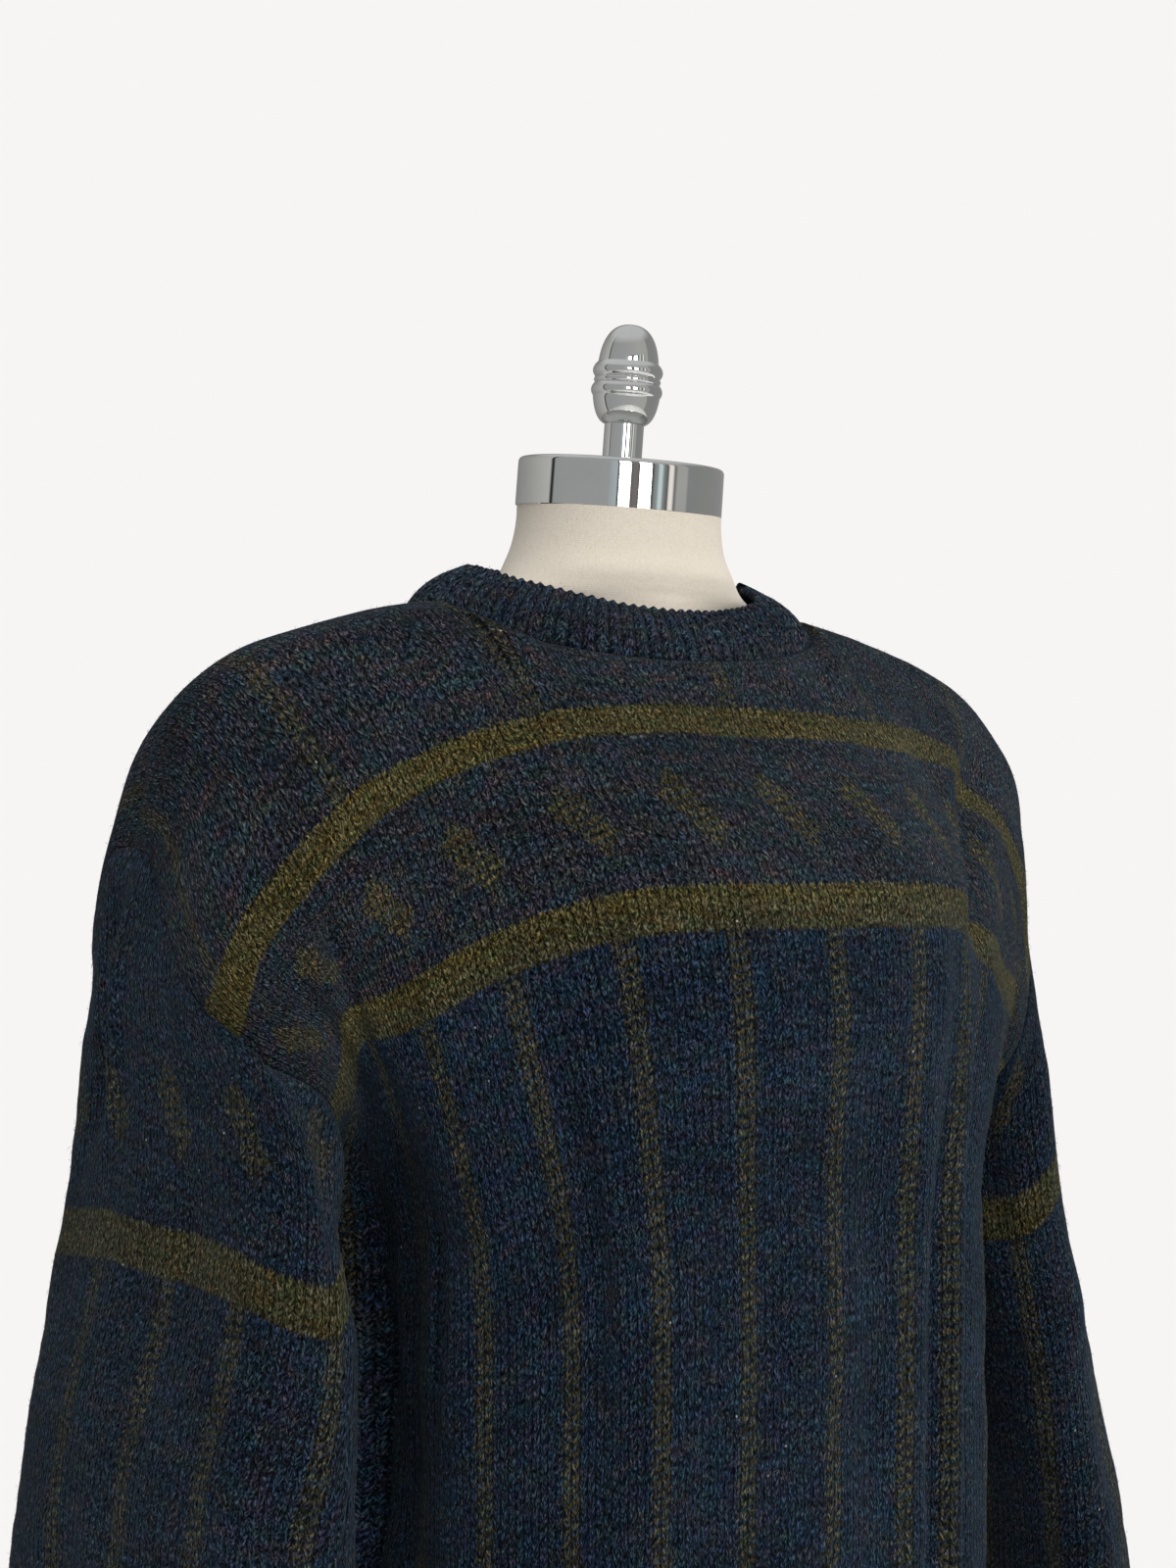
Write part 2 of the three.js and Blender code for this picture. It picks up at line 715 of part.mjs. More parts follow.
const wool = { color: 0x1d2634, roughness: 0.95, metalness: 0 };
const linen = { color: 0xd9cfbe, roughness: 0.85, metalness: 0 };
const chrome = { color: 0xc9ccce, roughness: 0.08, metalness: 1 };
const enamel = { color: 0x2b2b2d, roughness: 0.35, metalness: 0.4 };

function part(name, geometry, look) {
  const mesh = new THREE.Mesh(geometry, new THREE.MeshStandardMaterial(look));
  mesh.name = name;
  return mesh;
}

const sweater = new THREE.Group();
clothPieces.forEach((piece) => sweater.add(part(piece.name, clothGeometry(piece), wool)));

const neckFittings = new THREE.Group();
neckFittings.position.set(0, 1, chestLine + neckTop + formGap);
neckFittings.rotation.x = neckTilt;
const finial = part("finial", turned(finialOutline.getPoints(7), 32), chrome);
finial.position.z = capHeight + formGap;
neckFittings.add(part("neck_cap", turned(capOutline.getPoints(4), 48), chrome), finial);

const socket = part("form_socket", turned(socketOutline, 32), chrome);
socket.position.z = torsoUnderside - formGap - socketLength;
const poleGeometry = new THREE.CylinderGeometry(poleRadius, poleRadius, poleLength, 32).rotateX(Math.PI / 2);
const pole = part("pole", poleGeometry, chrome);
pole.position.z = footTop + poleLength / 2;
const foot = part("foot", turned(footOutline.getPoints(5), 64), enamel);

const form = new THREE.Group();
form.add(part("form_torso", torso, linen), neckFittings, socket, pole, foot);

const group = new THREE.Group();
group.add(sweater, form);
export default group;
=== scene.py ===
"""A crew-neck wool sweater on a limbless dress form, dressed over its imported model.
The tables are in millimetres, with heights counted from the chest line, and meshes are in metres.
The front faces -Y and +X is the wearer's left."""

import math

import bpy
import numpy as np
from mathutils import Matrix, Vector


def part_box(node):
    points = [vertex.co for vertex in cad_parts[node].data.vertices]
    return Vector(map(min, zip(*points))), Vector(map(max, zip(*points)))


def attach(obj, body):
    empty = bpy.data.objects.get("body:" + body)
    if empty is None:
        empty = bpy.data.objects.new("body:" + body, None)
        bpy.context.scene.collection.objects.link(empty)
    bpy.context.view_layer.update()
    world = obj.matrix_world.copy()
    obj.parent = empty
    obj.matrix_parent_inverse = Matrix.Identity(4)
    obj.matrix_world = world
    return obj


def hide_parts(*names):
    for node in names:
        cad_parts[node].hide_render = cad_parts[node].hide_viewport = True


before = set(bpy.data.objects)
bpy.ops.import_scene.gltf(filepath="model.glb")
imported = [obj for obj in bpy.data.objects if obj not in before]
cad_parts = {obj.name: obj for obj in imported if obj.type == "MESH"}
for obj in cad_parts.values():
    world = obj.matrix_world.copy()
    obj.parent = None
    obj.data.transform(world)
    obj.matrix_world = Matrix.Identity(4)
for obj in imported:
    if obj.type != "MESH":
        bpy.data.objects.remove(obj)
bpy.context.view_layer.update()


# ---- Front and back panels ----
# Two pieces of brushed stocking stitch in heather wool, each 616 mm across and 610 mm down to its
# hem rib. They are seamed at the shoulders and sides and hang in uneven upright folds. The wool
# itself, with its bands, stripes and small lozenges, is set up here too.

metre = 0.001  # one millimetre
torso_foot = -570
chest_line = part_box("form_torso")[0].z / metre - torso_foot
half_panel = 308  # centre of a panel to its side seam, along the cloth
neck_half = 95  # centre of a panel to the neck point, along the cloth
upper_row = 88  # shoulder line down to the upper band
lower_row = 178  # shoulder line down to the lower band
panel_length = 610
armpit_level = -150
armhole_depth = 254
hem_middle = -480
hem_dip = 16
cloth = 2.6  # thickness


def through(keys, values, key):
    """The value at a key of a cubic that passes through (keys, values) and is level past both ends."""
    keys, values = np.asarray(keys, float), np.asarray(values, float)
    key = np.clip(np.asarray(key, float), keys[0], keys[-1])
    last = len(keys) - 1
    before = np.maximum(np.arange(last + 1) - 1, 0)
    after = np.minimum(np.arange(last + 1) + 1, last)
    columns = values.reshape(last + 1, -1)
    bend = (columns[after] - columns[before]) / (keys[after] - keys[before])[:, None]
    i = np.clip(np.searchsorted(keys, key) - 1, 0, last - 1)
    span = (keys[i + 1] - keys[i])[..., None]
    t = (key - keys[i])[..., None] / span
    rise = columns[i + 1] - columns[i]
    start, end = bend[i] * span, bend[i + 1] * span
    found = columns[i] + t * start + t**2 * (3 * rise - 2 * start - end)
    found = found + t**3 * (start + end - 2 * rise)
    return found.reshape(key.shape + values.shape[1:])


def table(rows):
    """Turns rows into a function from the first column to the others."""
    rows = np.asarray(rows, float)
    return lambda key: through(rows[:, 0], rows[:, 1:], key)


def bell(distance, width):
    return np.exp(-((distance / width) ** 2))


def ramp(value, low, high):
    t = np.clip((np.asarray(value, float) - low) / (high - low), 0, 1)
    return t * t * (3 - 2 * t)


def mix(a, b, share):
    return a + (b - a) * share


# Along the cloth from the centre, then how far out and how high the shoulder line lies.
shoulder_line = table(
    [
        (95, 98, 121),
        (130, 132, 115),
        (165, 165, 105),
        (200, 197, 90),
        (232, 223, 71),
        (262, 239, 48),
        (308, 248, 8),
    ]
)

# Two rows of stitches of each panel: along, then out, depth and level of the upper and lower row.
known_rows = {
    "front": table(
        [
            (0, 0, 93, 64, 0, 165, -15),
            (47, 46, 92, 64, 47, 161, -15),
            (94, 92, 82, 60, 90, 144, -19),
            (141, 133, 67, 51, 127, 117, -34),
            (188, 166, 62, 34, 157, 100, -54),
            (235, 201, 67, 0, 179, 83, -66),
            (265, 218, 69, -24, 177, 70, -82),
            (308, 227, 66, -64, 186, 66, -102),
        ]
    ),
    "back": table(
        [
            (0, 0, 94, 50, 0, 113, -38),
            (47, 46, 94, 49, 46, 112, -39),
            (94, 92, 90, 45, 92, 107, -42),
            (141, 134, 80, 34, 133, 96, -50),
            (188, 172, 70, 15, 163, 84, -64),
            (235, 208, 62, -8, 182, 74, -82),
            (265, 224, 58, -24, 187, 66, -96),
            (308, 233, 46, -42, 185, 54, -112),
        ]
    ),
}

# Level sections below the armpits: level, half width, front depth, back depth and shift aside.
body_sections = table(
    [
        (-520, 170, 148, 126, -6),
        (-450, 175, 156, 131, -7),
        (-350, 176, 159, 128, -8),
        (-250, 175, 162, 122, -9),
        (-150, 174, 165, 118, -9),
        (-80, 174, 165, 116, -9),
    ]
)
section_power = 2.05  # 2 is an ellipse, and more is squarer
section_steps = 192
fold_run = 100  # length over which a fold opens and closes

# Upright folds: across the panel, width, how far out, top and foot.
body_folds = {
    "front": [
        (64, 14, 6, -10, -520),
        (86, 11, -5, -50, -520),
        (106, 10, 6, -50, -520),
        (140, 18, -13, -30, -520),
        (190, 14, 5, -100, -520),
        (268, 22, -14, -110, -500),
        (-84, 24, 5, -60, -400),
        (-180, 14, 4, -110, -420),
        (-213, 11, -6, -90, -340),
        (-248, 54, -24, -40, -360),
        (-246, 46, -11, -60, -520),
        (-254, 9, -8, -120, -460),
    ],
    "back": [
        (250, 26, -16, -100, -500),
        (150, 26, 6, -90, -460),
        (70, 30, -7, -120, -500),
        (-40, 34, 6, -140, -520),
        (-140, 28, -7, -90, -470),
        (-250, 26, -15, -100, -500),
    ],
}

# Below the chest the front's stitches have slipped round to its left: across the panel and how far.
front_slip = table(
    [
        (-308, 0),
        (-285, 4),
        (-262, 22),
        (-235, 33),
        (-188, 26),
        (-141, 19),
        (-94, 12),
        (-47, 8),
        (0, 9),
        (47, 7),
        (94, 5),
        (188, 0),
        (308, 0),
    ]
)
slip_depth = 200  # length over which the slip grows

# Over the right shoulder they lie further out than their share of it.
yoke_slip = table([(-308, 0), (-282, -10), (-235, -16), (-188, -18), (-141, -9), (-95, 0), (308, 0)])


def slipped(face, across, level):
    """Where a column of stitches lies round the body."""
    if face == "back":
        return across + 0 * level
    return across + front_slip(across)[0] * ramp(-level, 0, slip_depth)


def fold_depth(face, across, level):
    held = 1 - ramp(abs(across), half_panel - 24, half_panel)
    drop = -level
    total = 0
    for middle, width, out, top, foot in body_folds[face]:
        opens = ramp(drop, -top, -top + fold_run)
        closes = 1 - ramp(drop, -foot - fold_run, -foot)
        total = total + held * out * bell(across - middle, width) * opens * closes
    return total


def section_points(half_width, depth, share):
    """Points of level sections, at a share of the way along the cloth from centre to side."""
    angle = np.linspace(0, math.pi / 2 - 1e-9, section_steps + 1)  # just short of a cosine below 0
    power = 2 / section_power
    out = half_width[:, None] * np.sin(angle) ** power
    deep = depth[:, None] * np.cos(angle) ** power
    lengths = np.cumsum(np.hypot(np.diff(out), np.diff(deep)), axis=1)
    lengths = np.hstack([np.zeros((len(out), 1)), lengths])
    target = share[:, None] * lengths[:, -1:]
    k = np.clip((lengths < target).sum(1) - 1, 0, len(angle) - 2)
    row = np.arange(len(out))
    t = (target[:, 0] - lengths[row, k]) / (lengths[row, k + 1] - lengths[row, k])
    return mix(out[row, k], out[row, k + 1], t), mix(deep[row, k], deep[row, k + 1], t)


def body_points(face, across, level):
    """Points of one column of stitches below the armpits, at several levels."""
    level = np.atleast_1d(np.asarray(level, float))
    half_width, front_depth, back_depth, shift = body_sections(level).T
    depth = front_depth if face == "front" else back_depth
    place = slipped(face, across, level)
    out, deep = section_points(half_width, depth, abs(place) / half_panel)
    push = fold_depth(face, place, level)
    slant = np.array([out / half_width**2, deep / depth**2])
    slant = slant / np.linalg.norm(slant, axis=0)
    sign = -1 if face == "front" else 1
    x = shift + np.sign(place) * (out + push * slant[0])
    return np.column_stack([x, sign * (deep + push * slant[1]), level])


# The neckline: depth, level at its middle, drop below the neck point, and slant.
neckline = {"front": (75, 92.5, 53, 0.04), "back": (68, 118, 17, 0)}
neck_out, neck_level = shoulder_line(neck_half)
left_tuck = 12  # how much flatter the left drop of the shoulder lies
band_hang = 9  # how far the front's upper band leans: higher on the left, lower on the right
upper_share = 0.45  # how much of the yoke's slip the upper band takes
crown_rise = (2, 9, 6)  # how far cloth rounds off over the shoulder: out, forward and up
crown_place, crown_row = 0.2, 0.26  # where it does, between the shoulder and the upper band


def hang_of(along):
    """How far the front's upper band leans at a distance from the centre."""
    return band_hang * ramp(along, 70, 170) * (1 - 0.7 * ramp(along, 265, half_panel))


def top_of_panel(face, across):
    """The top edge of a panel as a point, and how many millimetres of cloth lie above it."""
    depth, level, drop, slant = neckline[face]
    sign = -1 if face == "front" else 1
    if abs(across) >= neck_half - 1e-6:
        out, height = shoulder_line(abs(across))
        return np.array([np.sign(across) * out, 0, height]), 0
    inward = math.sqrt(1 - (across / neck_half) ** 2)
    x = across / neck_half * neck_out
    z = mix(level, neck_level, 1 - inward) + slant * x * inward
    return np.array([x, sign * depth * inward, z]), drop * inward


def panel_column(face, across):
    """The rows of cloth above one column's armpit row, as keys and points, and the armpit row."""
    aside = yoke_slip(across)[0] if face == "front" else 0
    up_out, up_depth, up_level = known_rows[face](abs(across + upper_share * aside))[:3]
    low_level = known_rows[face](abs(across))[5]
    low_place = slipped(face, across, low_level)
    low_out, low_depth, low_level = known_rows[face](abs(low_place))[3:]
    sign = -1 if face == "front" else 1
    side = np.sign(across) or 1
    hang = side * hang_of(abs(across)) if face == "front" else 0
    up_level, up_depth = up_level + hang, up_depth - hang / 2
    top, top_row = top_of_panel(face, across + aside)
    shift = body_sections(armpit_level)[3]
    tuck = left_tuck * ramp(across, 180, 290) if across > 0 and face == "front" else 0

    def sway(level):
        return shift * ramp(-level, -60, 110)

    low = np.array(
        [(np.sign(low_place) or 1) * low_out + sway(low_level), sign * low_depth, low_level]
    )
    up = np.array(
        [side * (up_out - tuck) + sway(up_level), sign * (up_depth - tuck / 2), up_level]
    )
    armpit = body_points(face, across, armpit_level)[0]
    settle = ramp(abs(across), 250, half_panel)
    armpit_row = mix(lower_row + np.linalg.norm(low - armpit), armhole_depth, settle)
    round_off = ramp(abs(across), 60, neck_half)
    crown = mix(top, up, crown_place)
    out, forward, rise = crown_rise
    outward_share = side * ramp(abs(across), 200, half_panel)
    crown += (out * outward_share, sign * forward * round_off, rise * round_off)
    keys = [top_row, mix(top_row, upper_row, crown_row), upper_row, lower_row, armpit_row]
    return keys, [top, crown, up, low, armpit], armpit_row


def column_points(face, across, rows):
    """Points of one column of stitches, at rows given as shares: 0 to 1 above the armpit, to 2 below."""
    keys, points, armpit_row = panel_column(face, across)
    hem_level = hem_middle - hem_dip * (across / half_panel) ** 2

    def level_at(row):
        share = (row - armpit_row) / (panel_length - armpit_row)
        return mix(armpit_level, hem_level, share)

    row = np.where(
        rows <= 1, mix(keys[0], armpit_row, rows), mix(armpit_row, panel_length, rows - 1)
    )
    for step in (40, 80):  # two more points below the armpit, so that the column runs on smoothly
        keys.append(armpit_row + step)
        points.append(body_points(face, across, level_at(armpit_row + step))[0])
    above = through(keys, points, row)
    below = body_points(face, across, level_at(row))
    return np.where((rows >= 1)[:, None], below, above), row


# Each panel's grid of points: steps inside the neck, along the shoulder, and above and below the armpit.
neck_steps = 48
shoulder_steps = 72
rows_above = 80
rows_below = 108
even_share = 0.5  # columns spread out evenly by this share of the armhole
inner_step = 4  # the inner face has one point for this many outside
inner_calm = 8  # rounds of evening out the way it is drawn in

half_across = np.concatenate(
    [
        neck_half * np.sin(np.linspace(0, math.pi / 2, neck_steps + 1))[:-1],
        np.linspace(neck_half, half_panel, shoulder_steps + 1),
    ]
)
top_across = np.concatenate([-half_across[:0:-1], half_across])
even_across = np.linspace(-half_panel, half_panel, len(top_across))
row_shares = np.concatenate(
    [np.linspace(0, 1, rows_above + 1), 1 + np.linspace(0, 1, rows_below + 1)[1:]]
)


def panel_grid(face):
    """The outer face of a panel, and its fabric: how far across and down the cloth each point is."""
    spread = ramp(row_shares, 0, even_share)
    across = mix(top_across[None, :], even_across[None, :], spread[:, None])
    # A column of the grid drifts across the cloth, so it is read off from columns of stitches.
    wales = np.linspace(-half_panel, half_panel, 309)
    wales = np.unique(np.concatenate([wales, [-neck_half, neck_half], top_across]))
    points, rows = zip(*(column_points(face, a, row_shares) for a in wales))
    points, rows = np.array(points), np.array(rows)
    grid = np.empty(across.shape + (3,))
    fabric = np.empty(across.shape + (2,))
    for r in range(len(row_shares)):
        for axis in range(3):
            grid[r, :, axis] = np.interp(across[r], wales, points[:, r, axis])
        fabric[r, :, 0] = across[r]
        fabric[r, :, 1] = np.interp(across[r], wales, rows[:, r])
    return grid, fabric


def outward(grid, closed):
    """Unit normals of a grid of points: down the cloth crossed with along it."""
    ring = np.concatenate([grid[:, -1:], grid, grid[:, :1]], axis=1) if closed else grid
    along = np.gradient(ring, axis=1)
    along = along[:, 1:-1] if closed else along
    normal = np.cross(np.gradient(grid, axis=0), along)
    return normal / np.linalg.norm(normal, axis=2, keepdims=True)


def mesh_piece(name, points, faces, corners, smooth=True):
    """A mesh object from points in millimetres, faces, and fabric coordinates of each corner."""
    mesh = bpy.data.meshes.new(name)
    mesh.from_pydata((points + (0, 0, chest_line)) * metre, [], faces)
    if corners is not None:
        layer = mesh.uv_layers.new(name="fabric")
        layer.data.foreach_set("uv", (np.concatenate(corners) * metre).astype(np.float32).ravel())
    mesh.polygons.foreach_set("use_smooth", [smooth] * len(faces))
    mesh.update()
    piece = bpy.data.objects.new(name, mesh)
    bpy.context.scene.collection.objects.link(piece)
    return piece


def calmed(field, closed, times):
    """A grid of vectors with each evened out among its neighbours, so shorter where they part."""
    for _ in range(times):
        for axis, wraps in ((0, False), (1, closed)):
            ends = [(1, 1) if k == axis else (0, 0) for k in range(3)]
            wide = np.pad(field, ends, "wrap" if wraps else "edge")
            before, after = np.split(wide, [2], axis)[1], np.split(wide, [-2], axis)[0]
            field = (before + 2 * field + after) / 4
    return field


def cloth_shell(name, grid, fabric, closed):
    """A closed shell of cloth under a grid of points, with a coarser inner face.
    A closed grid joins its last column to its first; its fabric has one column more."""
    rows, columns = grid.shape[:2]
    normal = outward(grid, closed)
    inside = (grid - cloth * calmed(normal, closed, inner_calm))[::inner_step, ::inner_step]
    inner_rows, inner_columns = inside.shape[:2]
    points = np.concatenate([grid.reshape(-1, 3), inside.reshape(-1, 3)])
    faces, corners = [], []

    def outer(r, c):
        return r * columns + c % columns

    def inner(r, c):
        return rows * columns + r * inner_columns + c % inner_columns

    def add(*places):
        faces.append([(outer if layer == 0 else inner)(r, c) for layer, r, c in places])
        steps = (1, inner_step)
        corners.append(np.array([fabric[r * steps[k], c * steps[k]] for k, r, c in places]))

    across = columns if closed else columns - 1
    for r in range(rows - 1):
        for c in range(across):
            add((0, r, c), (0, r + 1, c), (0, r + 1, c + 1), (0, r, c + 1))
    inner_across = inner_columns if closed else inner_columns - 1
    for r in range(inner_rows - 1):
        for c in range(inner_across):
            add((1, r, c), (1, r, c + 1), (1, r + 1, c + 1), (1, r + 1, c))
    last, inner_last = rows - 1, inner_rows - 1
    for c in range(inner_across):
        run = range(c * inner_step, (c + 1) * inner_step + 1)
        add(*[(0, 0, k) for k in run], (1, 0, c + 1), (1, 0, c))
        add(*[(0, last, k) for k in reversed(run)], (1, inner_last, c), (1, inner_last, c + 1))
    for r in range(0 if closed else inner_rows - 1):
        run = range(r * inner_step, (r + 1) * inner_step + 1)
        edge, inner_edge = columns - 1, inner_columns - 1
        add(*[(0, k, 0) for k in reversed(run)], (1, r, 0), (1, r + 1, 0))
        add(*[(0, k, edge) for k in run], (1, r + 1, inner_edge), (1, r, inner_edge))
    return mesh_piece(name, points, faces, corners)


# Creases that the hanging cloth has beside its folds: from and to across and down the cloth, width
# and how far out.
panel_creases = {
    "front": [
        (-300, 150, -236, 330, 9, 2.6),
        (-292, 235, -250, 420, 7, -3.0),
        (-262, 120, -228, 250, 12, -2.2),
        (-170, 150, -150, 420, 10, -1.6),
        (-60, 240, -66, 560, 14, 1.4),
        (20, 200, 14, 520, 12, -1.3),
        (60, 120, 70, 400, 9, 1.2),
        (122, 60, 132, 330, 8, -2.0),
        (236, 26, 84, 216, 12, -7.5),
        (222, 14, 68, 204, 13, 3.4),
        (252, 40, 104, 232, 13, 2.6),
        (-215, 95, -244, 200, 6, -6.0),
        (-232, 95, -262, 200, 9, 3.0),
        (-132, 210, -131, 390, 6, -4.5),
        (-120, 210, -118, 390, 9, 2.0),
        (-224, 230, -225, 370, 5, -4.0),
        (272, 120, 240, 280, 9, 2.2),
        (298, 200, 262, 390, 7, -2.6),
    ],
    "back": [
        (-296, 170, -246, 350, 9, 2.4),
        (-258, 150, -226, 400, 9, -2.6),
        (-190, 60, -176, 260, 12, -1.6),
        (-110, 160, -100, 480, 14, 1.6),
        (-10, 120, -6, 460, 13, -1.2),
        (84, 200, 96, 560, 12, 1.4),
        (182, 80, 170, 300, 11, -1.8),
        (240, 130, 220, 360, 9, 2.4),
        (296, 190, 256, 400, 8, -2.4),
    ],
}
crease_wander = 6  # how far a crease strays from its straight line
seam_tuck = 1.3  # how far the cloth is drawn in along a sewn seam
seam_reach = 3.2
seam_cover = 0.85  # how much of a seam brushing can hide
armhole_rows = np.arange(rows_above + 1)
# How much of the right armhole's seam shows down its front, where brushing has covered it.
front_seam = 1 - seam_cover * ramp(armhole_rows, 4, 20) * (1 - ramp(armhole_rows, 66, 80))


def crease(grid, fabric, normal, creases):
    """Moves cloth out or in along straight creases that fade at both ends."""
    place = fabric[:, : grid.shape[1]]
    moved = np.zeros(grid.shape[:2])
    for x0, y0, x1, y1, width, out in creases:
        run = np.array([x1 - x0, y1 - y0], float)
        length = np.hypot(*run)
        run /= length
        away = place - (x0, y0)
        along = away @ run / length
        aside = away @ np.array([-run[1], run[0]])
        fade = ramp(along, 0, 0.35) * (1 - ramp(along, 0.6, 1))
        moved += out * fade * bell(aside + crease_wander * np.sin(3 * along), width)
    return grid + normal * moved[..., None]


wave_count = 14
wave_peak = 5  # about as high as the waves come together


def unevenness(place, size, seed):
    """Smooth random waves over the cloth, between about -1 and 1."""
    rng = np.random.default_rng(seed)
    total = np.zeros(place.shape[:-1])
    for _ in range(wave_count):
        turn, phase = rng.uniform(0, 2 * math.pi, 2)
        length = size * rng.uniform(0.6, 1.8)
        wave = place @ np.array([math.cos(turn), math.sin(turn)]) * 2 * math.pi / length
        total += np.sin(wave + phase)
    return total / wave_peak


# Where the cloth is pulled out of its even hang: a place, how far round it the pull reaches, and the
# pull. Both are across, back and up from the chest line.
pulls = [
    ((-206, -67, -84), 34, (3, -21, 6)),
    ((-192, -76, -122), 30, (9, -9, 0)),
    ((-188, -88, -200), 42, (-4, 4, 0)),
    ((-236, -20, 20), 40, (7, -3, 2)),
    ((-96, 10, 119), 34, (-12, 1, -1)),
    ((236, -6, -30), 60, (-7, 3, 0)),
    ((197, 0, 86), 30, (1, 0, 3)),
    ((-197, 0, 86), 30, (-1, 0, 3)),
    ((97, 0, 118), 24, (1.5, 0, 2)),
]


def pulled(points):
    for place, reach, pull in pulls:
        away = np.linalg.norm(points - place, axis=-1, keepdims=True)
        points = points + bell(away, reach) * pull
    return points


# For each panel: its points as hung, its fabric, and which way and how far its seams draw it in.
# Once it is sewn, its points and normals are added.
panels = {}
for number, face in enumerate(("front", "back")):
    grid, fabric = panel_grid(face)
    if face == "back":  # its columns run the other way, so that it faces out
        grid, fabric = grid[:, ::-1], fabric[:, ::-1]
    normal = outward(grid, False)
    from_sides = half_panel - abs(fabric[..., 0])
    from_top = fabric[..., 1] - fabric[:1, :, 1]
    rough = 0.7 * unevenness(fabric, 70, number) + 0.25 * unevenness(fabric, 22, 5 + number)
    rough *= ramp(np.minimum(from_sides, from_top), 2, 30)
    grid = crease(grid, fabric, normal, panel_creases[face]) + normal * rough[..., None]
    tuck = bell(np.minimum(from_sides, from_top), seam_reach)
    if face == "front":
        tuck[: rows_above + 1, :shoulder_steps] *= front_seam[:, None]
    panels[face] = {"hung": grid, "fabric": fabric, "drawn": normal, "tuck": tuck}

# Where the panels are sewn to each other both are drawn in the same way.
front_normal, back_normal = panels["front"]["drawn"], panels["back"]["drawn"][:, ::-1]
between = front_normal + back_normal
between /= np.linalg.norm(between, axis=2, keepdims=True)
sewn = np.zeros(between.shape[:2], bool)
sewn[0, abs(top_across) >= neck_half - 1e-6] = True
sewn[rows_above:, [0, -1]] = True
front_normal[sewn] = between[sewn]
back_normal[sewn] = between[sewn]
for panel in panels.values():
    grid = pulled(panel["hung"] - seam_tuck * panel["drawn"] * panel["tuck"][..., None])
    panel.update(sewn=grid, normal=outward(grid, False))


# -- the wool --


class Value:
    """A number at each point of a finish. Arithmetic on it adds shader nodes."""

    def __init__(self, finish, socket):
        self.finish, self.socket = finish, socket

    def __add__(self, other):
        return self.finish.math("ADD", self, other)

    def __sub__(self, other):
        return self.finish.math("SUBTRACT", self, other)

    def __rsub__(self, other):
        return self.finish.math("SUBTRACT", other, self)

    def __mul__(self, other):
        return self.finish.math("MULTIPLY", self, other)

    def __truediv__(self, other):
        return self.finish.math("DIVIDE", self, other)

    def __pow__(self, other):
        return self.finish.math("POWER", self, other)

    __radd__, __rmul__ = __add__, __mul__

    def apply(self, operation, other=0.0):
        return self.finish.math(operation, self, other)

    def fraction(self):
        return self.apply("FRACT")

    def size(self):
        return self.apply("ABSOLUTE")

    def nearest(self, step):
        """How far this is from the nearest multiple of a step."""
        return self - (self / step).apply("ROUND") * step

    def below(self, edge, soft):
        """1 where this is under an edge, falling softly to 0 over it."""
        return self.finish.math("MULTIPLY_ADD", self - edge, -0.5 / soft, 0.5, clamp=True)


